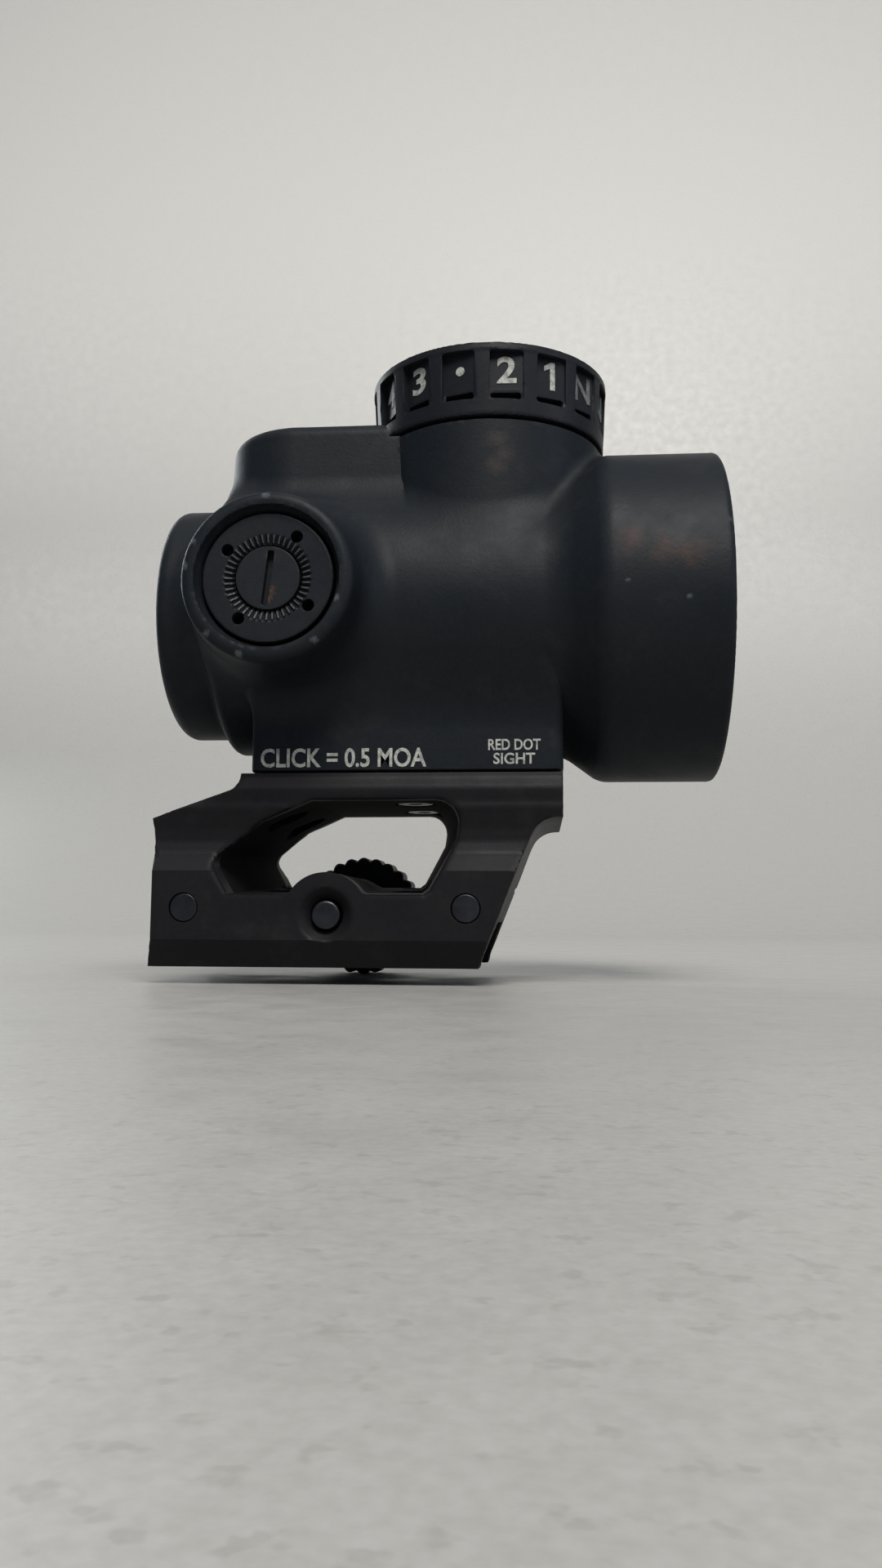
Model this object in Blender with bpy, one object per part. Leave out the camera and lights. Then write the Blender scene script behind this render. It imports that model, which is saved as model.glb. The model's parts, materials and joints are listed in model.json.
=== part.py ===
"""Compact tube red dot sight on a quick-release accessory-rail riser.

Frame: +X forward through the objective, +Z up, -Y is the shooter's right-hand side.  The origin
is on the rail seat, under the middle of the tube.  Driving dimensions are in millimetres; every
helper turns them into metres.
"""
import math

import bmesh
import bpy

MM = 0.001
GAP = 0.3                      # clearance between pieces that touch or run in each other

# ---------------------------------------------------------------- driving dimensions (mm)
AXIS_Z = 37.3                  # sight axis above the rail seat
REAR_X, FRONT_X = -33.0, 33.0  # ends of the tube
BODY_R = 16.4
EYEPIECE_R = 14.4
BELL_R = 20.05
BORE_R = 13.6                  # main bore that the optical tube tilts in
SHOULDER_X = -26.4             # rear end of the full body
NECK_X, BELL_X = 14.2, 19.1    # where the bell starts to open, and where it is full

ADJUSTER_X = -17.66            # windage and elevation screws
ADJUSTER_TOP = 22.93           # their rims, measured from the sight axis
ADJUSTER_RIM_R = 9.45
ADJUSTER_BORE_R = 7.45
SHOULDER_H = 18.2              # seat under an adjuster's flange

DIAL_X = 5.6                   # brightness dial and battery
TURRET_R = 14.1
DECK_Z = AXIS_Z + 20.9
DIAL_R = 14.8
DIAL_LOW, DIAL_HIGH = DECK_Z + GAP, AXIS_Z + 29.57
DIAL_STEPS = 16
DIAL_POCKET_LOW, DIAL_POCKET_HIGH = AXIS_Z + 23.5, AXIS_Z + 28.9
POCKET_FLOOR_Z = 52.0          # floor of the switch chamber
BATTERY_R, BATTERY_H = 10.0, 3.2

FOOT_REAR, FOOT_FRONT, FOOT_HALF_Y = -21.6, 14.5, 12.0
FOOT_Z = 17.2                  # underside of the housing's foot
RISER_TOP = FOOT_Z - GAP

PIVOT_X = 8.0                  # gimbal centre
TUBE_R, TUBE_WALL = 12.0, 1.0
TUBE_REAR, TUBE_FRONT = -24.0, 14.0

BOLT_X, BOLT_Z, BOLT_R = -12.2, 0.8, 2.35
BOSS_R = 4.8
PIN_XS, PIN_Z = (-28.4, 3.55), 1.6
WHEEL_R, WHEEL_Y0, WHEEL_Y1 = 7.85, 14.5, 20.0
WHEEL_SCALLOPS = 24
JAW_BOTTOM = -5.2
CHAMFER_TOP = -2.0
JAW_TOP = 4.1
JAW_SPLIT_Y = 8.9              # far wall of the seat, where the moving jaw starts
SCREW_PLACES = [(x, y) for x in (-18.5, -3.0) for y in (-5.5, 5.5)]

# Directions that a piece's local +Z can face
UP = (0, 0, 0)
RIGHT_SIDE = (math.pi / 2, 0, 0)        # local Z to -Y, local Y to +Z
LEFT_SIDE = (-math.pi / 2, 0, 0)        # local Z to +Y, local Y to -Z
FORWARD = (0, math.pi / 2, 0)           # local Z to +X
ALONG_TUBE = (math.pi / 2, 0, math.pi / 2)   # local X to +Y, local Y to +Z, local Z to +X


# ---------------------------------------------------------------- helpers
def material(name, colour, roughness, metallic):
    mat = bpy.data.materials.new(name)
    mat.use_nodes = True
    shader = mat.node_tree.nodes["Principled BSDF"]
    shader.inputs["Base Color"].default_value = (*colour, 1.0)
    shader.inputs["Roughness"].default_value = roughness
    shader.inputs["Metallic"].default_value = metallic
    return mat


def add_object(name, bm, centre, facing, mat):
    """Put a bmesh in the scene as an object with its origin at centre."""
    bmesh.ops.recalc_face_normals(bm, faces=bm.faces)
    mesh = bpy.data.meshes.new(name)
    bm.to_mesh(mesh)
    bm.free()
    mesh.shade_smooth()
    mesh.set_sharp_from_angle(angle=math.radians(35))
    obj = bpy.data.objects.new(name, mesh)
    bpy.context.collection.objects.link(obj)
    obj.location = [value * MM for value in centre]
    obj.rotation_euler = facing
    if mat:
        mesh.materials.append(mat)
    return obj


def lathe(name, profile, centre, facing=UP, mat=None, segments=48):
    """Turn an outline of (radius, height) points about the local Z axis."""
    bm = bmesh.new()
    rings = []
    for radius, height in profile:
        if radius == 0:
            rings.append([bm.verts.new((0, 0, height * MM))])
            continue
        turns = [2 * math.pi * (k + 0.5) / segments for k in range(segments)]
        rings.append([bm.verts.new((radius * math.cos(t) * MM, radius * math.sin(t) * MM,
                                    height * MM)) for t in turns])
    pairs = list(zip(rings, rings[1:]))
    if profile[0][0] != 0:
        pairs.append((rings[-1], rings[0]))
    for low, high in pairs:
        for k in range(segments):
            n = (k + 1) % segments
            if len(low) == 1:
                bm.faces.new((low[0], high[k], high[n]))
            elif len(high) == 1:
                bm.faces.new((low[k], low[n], high[0]))
            else:
                bm.faces.new((low[k], low[n], high[n], high[k]))
    return add_object(name, bm, centre, facing, mat)


def disc(radius, low, high):
    """Outline of a plain cylinder for lathe()."""
    return [(0, low), (radius, low), (radius, high), (0, high)]


def ring(inner, outer, low, high):
    """Outline of a plain washer for lathe()."""
    return [(inner, low), (outer, low), (outer, high), (inner, high)]


def add_prism(bm, outline, low, high):
    bottom = [bm.verts.new((u * MM, v * MM, low * MM)) for u, v in outline]
    top = [bm.verts.new((u * MM, v * MM, high * MM)) for u, v in outline]
    bm.faces.new(bottom[::-1])
    bm.faces.new(top)
    for k in range(len(outline)):
        n = (k + 1) % len(outline)
        bm.faces.new((bottom[k], bottom[n], top[n], top[k]))


def prism(name, outline, low, high, centre=(0, 0, 0), facing=UP, mat=None):
    """Extrude an outline of (x, y) points along the local Z axis."""
    bm = bmesh.new()
    add_prism(bm, outline, low, high)
    return add_object(name, bm, centre, facing, mat)


def rectangle(x0, y0, x1, y1):
    return [(x0, y0), (x1, y0), (x1, y1), (x0, y1)]


def arc(cx, cy, radius, start, end, steps):
    """Points along an arc, angles in degrees."""
    angles = [math.radians(start + (end - start) * k / steps) for k in range(steps + 1)]
    return [(cx + radius * math.cos(a), cy + radius * math.sin(a)) for a in angles]


def combine(target, tool, operation="DIFFERENCE"):
    """Join tool to target, cut it away or keep what they share; the tool itself stays hidden."""
    modifier = target.modifiers.new(tool.name, "BOOLEAN")
    modifier.operation = operation
    modifier.object = tool
    modifier.solver = "EXACT"
    tool.hide_render = True
    tool.display_type = "WIRE"


def join(target, *tools):
    for tool in tools:
        combine(target, tool, "UNION")


def cut(target, *tools):
    for tool in tools:
        combine(target, tool)


def coil(name, radius, wire, turns, low, high, centre, facing, mat):
    """A compression spring of round wire about the local Z axis."""
    points_per_turn = 6
    curve = bpy.data.curves.new(name, "CURVE")
    curve.dimensions = "3D"
    curve.bevel_depth = wire * MM
    curve.bevel_resolution = 0
    curve.use_fill_caps = True
    spline = curve.splines.new("POLY")
    count = turns * points_per_turn
    spline.points.add(count)
    for k in range(count + 1):
        angle = 2 * math.pi * k / points_per_turn
        height = low + wire + (high - low - 2 * wire) * k / count
        spline.points[k].co = (radius * math.cos(angle) * MM, radius * math.sin(angle) * MM,
                               height * MM, 1)
    obj = bpy.data.objects.new(name, curve)
    bpy.context.collection.objects.link(obj)
    obj.location = [value * MM for value in centre]
    obj.rotation_euler = facing
    curve.materials.append(mat)
    return obj


def ball_outline(radius, height, steps=4):
    """Outline of a ball for lathe(), its centre at the given height."""
    points = [(radius * math.sin(math.pi * k / steps), height - radius * math.cos(math.pi * k / steps))
              for k in range(steps + 1)]
    return [(0, points[0][1])] + points[1:-1] + [(0, points[-1][1])]


# ---------------------------------------------------------------- housing
def body_outline():
    """Outside of the tube, along the sight axis: (radius, x) points, solid to the axis."""
    rim = 1.2
    neck = [(BODY_R, NECK_X)]
    for k in range(1, 6):
        t = k / 5
        blend = t * t * (3 - 2 * t)
        neck.append((BODY_R + (BELL_R - BODY_R) * blend, NECK_X + (BELL_X - NECK_X) * t))
    return ([(0, REAR_X), (EYEPIECE_R - rim, REAR_X)]
            + [(EYEPIECE_R - 0.35, REAR_X + 0.35), (EYEPIECE_R, REAR_X + rim)]
            + [(EYEPIECE_R, SHOULDER_X - 0.6), (EYEPIECE_R + 0.6, SHOULDER_X)]
            + [(BODY_R - 0.5, SHOULDER_X), (BODY_R, SHOULDER_X + 0.5)]
            + neck
            + [(BELL_R, FRONT_X - 0.6), (BELL_R - 0.6, FRONT_X), (0, FRONT_X)])


def bore_outline():
    """Everything bored out along the sight axis, rear to front."""
    return [(0, REAR_X - 1), (12.6, REAR_X - 1), (12.6, -28.0), (10.6, -28.0), (10.6, -26.6),
            (BORE_R, -25.6), (BORE_R, 15.8), (15.2, 15.8), (15.2, 20.4), (17.3, 20.4),
            (17.3, FRONT_X + 1), (0, FRONT_X + 1)]


def adjuster_boss_outline(base):
    """Round boss under an adjuster, flaring into the tube; heights are from the sight axis."""
    return [(0, base), (11.6, base), (10.7, 15.4), (10.2, 17.0), (9.8, 19.5),
            (ADJUSTER_RIM_R, 21.8), (8.9, 22.7), (8.4, ADJUSTER_TOP), (0, ADJUSTER_TOP)]


def adjuster_bore_outline():
    return [(0, 12.0), (3.5, 12.0), (3.5, SHOULDER_H), (ADJUSTER_BORE_R, SHOULDER_H),
            (ADJUSTER_BORE_R, 22.1), (7.93, 22.5), (7.93, ADJUSTER_TOP + 1), (0, ADJUSTER_TOP + 1)]


def make_housing(mat):
    housing = lathe("housing", body_outline(), (0, 0, AXIS_Z), FORWARD, mat, 40)
    side = (ADJUSTER_X, 0, AXIS_Z)

    turret = lathe("turret_form", disc(TURRET_R, 8, DECK_Z - AXIS_Z), (DIAL_X, 0, AXIS_Z),
                   segments=36)
    windage = lathe("windage_boss", adjuster_boss_outline(11.0), side, RIGHT_SIDE, segments=28)
    elevation = lathe("elevation_boss", adjuster_boss_outline(8.3), side, UP, segments=28)
    bridge = prism("bridge_form", rectangle(ADJUSTER_X + 0.4, -9.4, DIAL_X, 9.4), 9.0,
                   ADJUSTER_TOP - 0.1, (0, 0, AXIS_Z))
    foot = prism("foot_form", rectangle(FOOT_REAR, -FOOT_HALF_Y, FOOT_FRONT, FOOT_HALF_Y), FOOT_Z,
                 AXIS_Z - 1)
    join(housing, turret, windage, elevation, bridge, foot)

    dial_swing = lathe("dial_swing", disc(DIAL_R + GAP, DECK_Z, AXIS_Z + 30), (DIAL_X, 0, 0),
                       segments=40)
    bore = lathe("main_bore", bore_outline(), (0, 0, AXIS_Z), FORWARD, segments=36)
    chamber = lathe("switch_chamber", [(0, POCKET_FLOOR_Z), (10.0, POCKET_FLOOR_Z), (10.0, 56.0),
                                       (11.6, 56.0), (11.6, DECK_Z + 1), (0, DECK_Z + 1)],
                    (DIAL_X, 0, 0), segments=28)
    windage_bore = lathe("windage_bore", adjuster_bore_outline(), side, RIGHT_SIDE, segments=24)
    elevation_bore = lathe("elevation_bore", adjuster_bore_outline(), side, UP, segments=24)
    cut(housing, dial_swing, bore, chamber, windage_bore, elevation_bore)

    click = disc(0.85, 14.6, SHOULDER_H + 0.5)
    cut(housing,
        lathe("windage_click_hole", click, (ADJUSTER_X + 5.3, 0, AXIS_Z), RIGHT_SIDE, segments=12),
        lathe("elevation_click_hole", click, (ADJUSTER_X, 5.3, AXIS_Z), UP, segments=12),
        lathe("detent_hole", disc(1.05, DECK_Z - 5, DECK_Z + 0.5), (DIAL_X, 12.85, 0), segments=12))
    for sign in (-1, 1):
        cut(housing, lathe("gimbal_pin_hole", disc(0.95, -0.9, 0.9),
                           (PIVOT_X, 0, AXIS_Z + sign * 14.0), segments=12))
    for x, y in SCREW_PLACES:
        cut(housing, lathe("screw_hole", disc(1.5, FOOT_Z - 1, 21.6), (x, y, 0), segments=16))
    cut(housing,
        prism("recoil_pocket", rectangle(-13.8, -3.3, -7.2, 3.3), FOOT_Z - 1, 18.5),
        prism("cable_slot", rectangle(-1.9, -2.4, -0.4, 2.4), 49.0, POCKET_FLOOR_Z + 0.5))
    return housing


# ---------------------------------------------------------------- optics and inner tube
def make_optics(glass, black, rubber, brass, board):
    on_axis = (0, 0, AXIS_Z)
    lathe("objective_lens", [(0, 20.6)] + [(r, 20.6 + 1.3 * (r / 16.9) ** 2)
          for r in (4, 8, 12, 16.9)] + [(16.9, 24.0)]
          + [(r, 24.0 + 1.5 * (1 - (r / 16.9) ** 2)) for r in (12, 8, 4)] + [(0, 25.5)],
          on_axis, FORWARD, glass, 28)
    retainer = lathe("objective_retaining_ring",
                     [(13.2, 26.1), (16.9, 26.1), (16.9, 28.6), (14.9, 28.6)], on_axis, FORWARD,
                     black, 28)
    for sign in (-1, 1):
        cut(retainer, prism("spanner_notch", rectangle(-0.9, 15.4 * sign, 0.9, 18.4 * sign), 27.6,
                            29.5, on_axis, FORWARD))
    lathe("objective_seal", ring(15.6, 16.8, 24.6, 25.6), on_axis, FORWARD, rubber, 20)

    lathe("ocular_lens", [(0, -29.6), (12.0, -29.6), (12.0, -28.4), (0, -28.4)],
          on_axis, FORWARD, glass, 28)
    lathe("ocular_retaining_ring", [(10.9, -32.0), (12.3, -32.0), (12.3, -30.9), (10.6, -30.9)],
          on_axis, FORWARD, black, 28)
    lathe("ocular_seal", ring(11.1, 12.1, -30.6, -29.9), on_axis, FORWARD, rubber, 20)

    inner = TUBE_R - TUBE_WALL
    tube = lathe("optical_tube", ring(inner, TUBE_R, TUBE_REAR, TUBE_FRONT), on_axis, FORWARD,
                 black, 28)
    for sign in (-1, 1):
        join(tube, lathe("tube_pin", disc(0.6, 11.4, 12.9), (PIVOT_X, 0, AXIS_Z),
                         RIGHT_SIDE if sign < 0 else LEFT_SIDE, segments=10))
    gimbal = lathe("gimbal_ring", ring(12.35, 13.2, PIVOT_X - 1.8, PIVOT_X + 1.8), on_axis,
                   FORWARD, brass, 28)
    for sign in (-1, 1):
        cut(gimbal, lathe("gimbal_eye", disc(0.9, 11.5, 14.0), (PIVOT_X, 0, AXIS_Z),
                          RIGHT_SIDE if sign < 0 else LEFT_SIDE, segments=10))
        low, high = sorted((sign * 12.7, sign * 14.5))
        join(gimbal, lathe("gimbal_pin", disc(0.6, low, high), (PIVOT_X, 0, AXIS_Z), segments=10))

    prism("emitter_bracket", rectangle(-1.6, 7.0, 1.6, 10.4), -22.5, -19.0, on_axis, ALONG_TUBE,
          black)
    lathe("emitter", [(0, -18.7), (0.9, -18.7), (0.9, -17.6), (0.6, -17.1), (0, -16.9)],
          (0, 0, AXIS_Z + 8.4), FORWARD, glass, 10)

    leaf = (arc(0, 0, 13.15, -75, -15, 8) + arc(0, 0, 12.75, -15, -75, 8))
    prism("bias_spring", leaf, -20.2, -15.2, on_axis, ALONG_TUBE, brass)
    cable = [(-13.0, 50.0), (-0.9, 50.0), (-0.9, 52.2), (-1.15, 52.2), (-1.15, 50.25), (-13.0, 50.25)]
    prism("emitter_flex_cable", cable, -1.9, 1.9, (0, 0, 0), RIGHT_SIDE, board)


# ---------------------------------------------------------------- windage and elevation
def make_adjuster(name, facing, click_place, black, rubber, steel):
    """One adjuster set; heights are from the sight axis."""
    centre = (ADJUSTER_X, 0, AXIS_Z)
    retainer = lathe(name + "_retaining_ring",
                     [(3.85, 20.1), (7.15, 20.1), (7.15, 22.0), (4.5, 22.0), (3.85, 21.6)],
                     centre, facing, black, 24)
    for turn in (55.0, 145.0, 235.0, 325.0):
        place = [5.55 * math.cos(math.radians(turn)), 5.55 * math.sin(math.radians(turn))]
        bm = bmesh.new()
        add_prism(bm, arc(*place, 0.68, 0, 315, 7), 20.8, 23.0)
        cut(retainer, add_object("spanner_hole", bm, centre, facing, None))
    dial = lathe(name + "_dial",
                 [(0, 20.6), (1.75, 20.6), (1.75, 15.6), (3.2, 15.6), (3.2, 18.5), (5.6, 18.5),
                  (5.6, 19.8), (3.55, 19.8), (3.55, 21.7), (3.3, 21.9), (0, 21.9)],
                 centre, facing, black, 20)
    lean = math.radians(-6.5)
    slot = [(u * math.cos(lean) - v * math.sin(lean), u * math.sin(lean) + v * math.cos(lean))
            for u, v in rectangle(-0.4, -3.0, 0.4, 3.0)]
    cut(dial, prism(name + "_slot", slot, 21.0, 23.0, centre, facing))
    lathe(name + "_plunger", [(0, 12.3), (2.0, 12.3), (2.4, 12.7), (2.4, 14.5), (1.45, 14.5),
                              (1.45, 20.0), (0, 20.0)], centre, facing, steel, 12)
    lathe(name + "_seal", ring(5.95, 7.1, 18.6, 19.7), centre, facing, rubber, 20)
    lathe(name + "_click_ball", ball_outline(0.55, 17.55), click_place, facing, steel, 6)
    coil(name + "_click_spring", 0.45, 0.1, 3, 14.8, 16.8, click_place, facing, steel)


def make_adjusters(black, rubber, steel):
    make_adjuster("windage", RIGHT_SIDE, (ADJUSTER_X + 5.3, 0, AXIS_Z), black, rubber, steel)
    make_adjuster("elevation", UP, (ADJUSTER_X, 5.3, AXIS_Z), black, rubber, steel)


# ---------------------------------------------------------------- brightness dial and battery
def make_dial(black, rubber, steel, brass, board, battery_steel):
    centre = (DIAL_X, 0, 0)
    floor_z = DIAL_LOW + 1.1
    dial = lathe("brightness_dial",
                 [(0, floor_z), (10.4, floor_z), (10.4, 63.3), (11.3, 63.3),
                  (11.3, DIAL_HIGH - 0.3), (11.6, DIAL_HIGH), (14.4, DIAL_HIGH),
                  (DIAL_R, DIAL_HIGH - 0.4), (DIAL_R, DIAL_LOW + 0.5), (14.3, DIAL_LOW),
                  (8.0, DIAL_LOW), (8.0, 56.1), (7.2, 56.1), (7.2, 54.9), (8.0, 54.9), (8.0, 54.5),
                  (0, 54.5)], centre, UP, black, 32)
    bm = bmesh.new()
    pitch = 2 * math.pi / DIAL_STEPS
    for k in range(DIAL_STEPS):
        turn = pitch * (k + 0.5) - math.pi / 2
        outline = [(u * math.cos(turn) - v * math.sin(turn), u * math.sin(turn) + v * math.cos(turn))
                   for u, v in rectangle(13.9, -2.05, 16.0, 2.05)]
        add_prism(bm, outline, DIAL_POCKET_LOW, DIAL_POCKET_HIGH)
    cut(dial, add_object("dial_pockets", bm, centre, UP, None))

    cap = lathe("battery_cap",
                [(0, 63.9), (10.9, 63.9), (10.9, 64.2), (9.7, 64.2), (9.7, 65.5), (10.9, 65.5),
                 (10.9, 66.3), (10.6, 66.6), (0, 66.6)], centre, UP, black, 28)
    cut(cap, prism("coin_slot", rectangle(-7.5, -0.95, 7.5, 0.95), 65.4, 67.5, centre))
    lathe("battery_cap_seal", ring(10.05, 10.95, 64.5, 65.2), centre, UP, rubber, 20)
    lathe("battery", [(0, 60.3), (9.6, 60.3), (BATTERY_R, 60.7), (BATTERY_R, 60.3 + BATTERY_H),
                      (0, 60.3 + BATTERY_H)], centre, UP, battery_steel, 24)
    lathe("battery_contact", [(1.5, 59.95), (6.5, 59.7), (6.5, 59.85), (1.5, 60.1)], centre, UP,
          brass, 24)

    lathe("dial_retaining_ring", ring(8.35, 11.3, 56.3, 57.9), centre, UP, black, 28)
    prism("dial_clip", arc(0, 0, 9.4, 20, 340, 14) + arc(0, 0, 7.6, 340, 20, 14), 55.25,
          55.75, centre, UP, steel)
    lathe("dial_wiper", ring(3.0, 7.0, 53.75, 54.15), centre, UP, brass, 24)
    lathe("selector_board", [(0, 52.5), (9.4, 52.5), (9.4, 53.3), (0, 53.3)], centre, UP, board, 24)
    detent = (DIAL_X, 12.85, 0)
    lathe("dial_detent_ball", ball_outline(0.75, DECK_Z - 0.9), detent, UP, steel, 6)
    coil("dial_detent_spring", 0.6, 0.12, 3, DECK_Z - 4.8, DECK_Z - 1.95, detent, UP, steel)


# ---------------------------------------------------------------- riser and rail clamp
def riser_outline():
    """Side outline of the riser as (x, z) points, from the top rear corner."""
    return ([(-22.6, RISER_TOP)] + arc(-24.5, 16.75, 1.9, -5, -65, 4)
            + [(-32.45, 11.85), (-32.2, 5.8), (-32.2, CHAMFER_TOP), (-33.1, JAW_BOTTOM),
               (4.9, JAW_BOTTOM), (5.3, -4.0), (10.7, 9.6)]
            + arc(13.9, 8.6, 3.3, 150, 92, 5) + [(14.4, 11.9), (14.4, RISER_TOP)])


def riser_profile():
    """Cross-section of the riser as (y, z) points; the rail seat is at z = 0."""
    wall = [(12.2, RISER_TOP), (13.0, 15.2), (12.85, 13.6), (12.9, 12.7), (12.3, 10.6),
            (12.25, 9.2), (12.6, 7.9), (14.1, 5.8)]
    near = [(-y, z) for y, z in wall]
    groove = [(-14.1, CHAMFER_TOP), (-11.9, JAW_BOTTOM), (-9.0, JAW_BOTTOM), (-10.9, -3.3),
              (-10.9, -2.7), (-8.1, 0.0)]
    shelf = JAW_TOP + GAP
    far = [(JAW_SPLIT_Y, 0.0), (JAW_SPLIT_Y, shelf), (14.1, shelf)]
    return near + groove + far + wall[::-1]


def window_outline():
    """Opening through the riser as (x, z) points."""
    return ([(-23.5, 3.1), (-1.2, 3.1), (-0.5, 3.6), (2.75, 9.3)] + arc(0.25, 11.15, 2.75, -15, 90, 5)
            + [(-14.2, 13.85), (-20.2, 11.35)] + arc(-23.7, 6.6, 1.6, 130, 205, 4))


def make_riser(mat):
    riser = prism("riser_mount", riser_profile(), -34.0, 15.5, (0, 0, 0), ALONG_TUBE, mat)
    side = prism("riser_side", riser_outline(), -15.0, 15.0, (0, 0, 0), RIGHT_SIDE)
    combine(riser, side, "INTERSECT")
    cut(riser, prism("riser_window", window_outline(), -16.0, 16.0, (0, 0, 0), RIGHT_SIDE))
    boss = arc(BOLT_X, BOLT_Z, BOSS_R, 0, 180, 14)
    join(riser, prism("bolt_boss", boss, -JAW_SPLIT_Y, 14.1, (0, 0, 0), RIGHT_SIDE),
         prism("recoil_key", rectangle(-13.5, -3.0, -7.5, 3.0), RISER_TOP - 1, 18.2))

    cut(riser, lathe("bolt_bore", [(0, -15.0), (2.3, -15.0), (2.3, -12.6), (1.85, -12.6),
                                   (1.85, -9.8), (BOLT_R + GAP, -9.8), (BOLT_R + GAP, 16.0),
                                   (0, 16.0)], (BOLT_X, 0, BOLT_Z), LEFT_SIDE, segments=16))
    for x in PIN_XS:
        cut(riser, lathe("pin_bore", [(0, -15.0), (1.7, -15.0), (1.7, -10.2), (1.3, -10.2),
                                      (1.3, 16.0), (0, 16.0)], (x, 0, PIN_Z), LEFT_SIDE,
                         segments=14))
    for x, y in SCREW_PLACES:
        cut(riser,
            lathe("screw_access", disc(2.7, -1.0, 5.0), (x, y, 0), segments=14),
            lathe("screw_seat", [(0, 11.0), (2.4, 11.0), (2.4, 15.6), (1.5, 15.6), (1.5, 18.0),
                                 (0, 18.0)], (x, y, 0), segments=14))
    return riser


def make_fasteners(steel):
    outline = [(0, 14.8), (0.9, 14.8), (0.9, 14.0), (2.1, 14.0), (2.1, 15.3), (1.2, 15.3),
               (1.2, 21.0), (0, 21.0)]
    for number, (x, y) in enumerate(SCREW_PLACES, 1):
        lathe(f"base_screw_{number}", outline, (x, y, 0), UP, steel, 12)
    for name, x in zip(("guide_pin_rear", "guide_pin_front"), PIN_XS):
        lathe(name, [(0, -13.9), (1.3, -13.9), (1.4, -13.8), (1.4, -10.5), (1.0, -10.5),
                     (1.0, 13.4), (0, 13.4)], (x, 0, PIN_Z), LEFT_SIDE, steel, 14)


def make_clamp(mat, steel):
    profile = [(JAW_SPLIT_Y + GAP, JAW_TOP), (JAW_SPLIT_Y + GAP, -1.0), (10.9, -2.7), (10.9, -3.3),
               (9.0, JAW_BOTTOM), (11.9, JAW_BOTTOM), (14.1, CHAMFER_TOP), (14.1, 3.3),
               (13.3, JAW_TOP)]
    jaw = prism("clamp_jaw", profile, -32.2, 9.0, (0, 0, 0), ALONG_TUBE, mat)
    front = [(4.9, JAW_BOTTOM - 1), (5.3, -4.0), (8.9, 5.0), (12.0, 5.0), (12.0, JAW_BOTTOM - 1)]
    cut(jaw, prism("jaw_rake", front, -16.0, -7.0, (0, 0, 0), RIGHT_SIDE))
    cut(jaw, lathe("jaw_bolt_bore", disc(BOLT_R + GAP, 7.0, 16.0), (BOLT_X, 0, BOLT_Z), LEFT_SIDE,
                   segments=24))
    for name, x in zip(("jaw_spring_rear", "jaw_spring_front"), PIN_XS):
        cut(jaw, lathe("jaw_pin_bore", [(0, 7.0), (2.2, 7.0), (2.2, 12.0), (1.3, 12.0),
                                        (1.3, 16.0), (0, 16.0)], (x, 0, PIN_Z), LEFT_SIDE,
                       segments=14))
        coil(name, 1.6, 0.18, 3, 9.4, 11.7, (x, 0, PIN_Z), LEFT_SIDE, steel)
    detent = (BOLT_X + 5.6, 0, BOLT_Z)
    cut(jaw, lathe("jaw_detent_hole", disc(1.0, 10.4, 15.0), detent, LEFT_SIDE, segments=12))
    lathe("wheel_detent_ball", ball_outline(0.7, 13.45), detent, LEFT_SIDE, steel, 6)
    coil("wheel_detent_spring", 0.55, 0.1, 3, 10.6, 12.6, detent, LEFT_SIDE, steel)

    bolt = lathe("cross_bolt", [(0, -13.7), (1.25, -13.7), (1.5, -13.45), (1.5, -9.5),
                                (BOLT_R, -9.5), (BOLT_R, 18.4), (4.2, 18.4), (4.2, 19.5),
                                (3.8, 19.9), (0, 19.9)], (BOLT_X, 0, BOLT_Z), LEFT_SIDE, steel, 14)
    cut(bolt, prism("bolt_slot", rectangle(-4.5, -0.6, 4.5, 0.6), 18.9, 21.0,
                    (BOLT_X, 0, BOLT_Z), LEFT_SIDE))
    per_scallop = 2
    count = WHEEL_SCALLOPS * per_scallop
    outline = []
    for k in range(count):
        turn = 2 * math.pi * k / count
        radius = WHEEL_R - 0.5 * abs(math.sin(WHEEL_SCALLOPS * turn / 2))
        outline.append((radius * math.cos(turn), radius * math.sin(turn)))
    wheel = prism("click_wheel", outline, WHEEL_Y0, WHEEL_Y1, (BOLT_X, 0, BOLT_Z), LEFT_SIDE, mat)
    cut(wheel, lathe("wheel_bore", [(0, 13.0), (BOLT_R + GAP, 13.0), (BOLT_R + GAP, 18.1),
                                    (4.5, 18.1), (4.5, 21.0), (0, 21.0)], (BOLT_X, 0, BOLT_Z),
                     LEFT_SIDE, segments=28))


# ---------------------------------------------------------------- assembly
def main():
    for obj in list(bpy.data.objects):
        bpy.data.objects.remove(obj, do_unlink=True)
    anodised = material("anodised_black", (0.012, 0.014, 0.019), 0.5, 0.0)
    mount_black = material("mount_black", (0.014, 0.013, 0.016), 0.42, 0.0)
    black = material("fitting_black", (0.015, 0.017, 0.022), 0.45, 0.0)
    steel = material("black_steel", (0.06, 0.06, 0.065), 0.38, 1.0)
    bright = material("bright_steel", (0.62, 0.62, 0.60), 0.28, 1.0)
    brass = material("spring_brass", (0.55, 0.40, 0.20), 0.35, 1.0)
    rubber = material("seal_rubber", (0.02, 0.02, 0.02), 0.75, 0.0)
    glass = material("coated_glass", (0.30, 0.42, 0.46), 0.05, 0.0)
    board = material("circuit_board", (0.03, 0.16, 0.09), 0.45, 0.0)

    make_housing(anodised)
    make_optics(glass, black, rubber, brass, board)
    make_adjusters(black, rubber, steel)
    make_dial(black, rubber, steel, brass, board, bright)
    make_riser(mount_black)
    make_fasteners(steel)
    make_clamp(mount_black, steel)


main()
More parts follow.
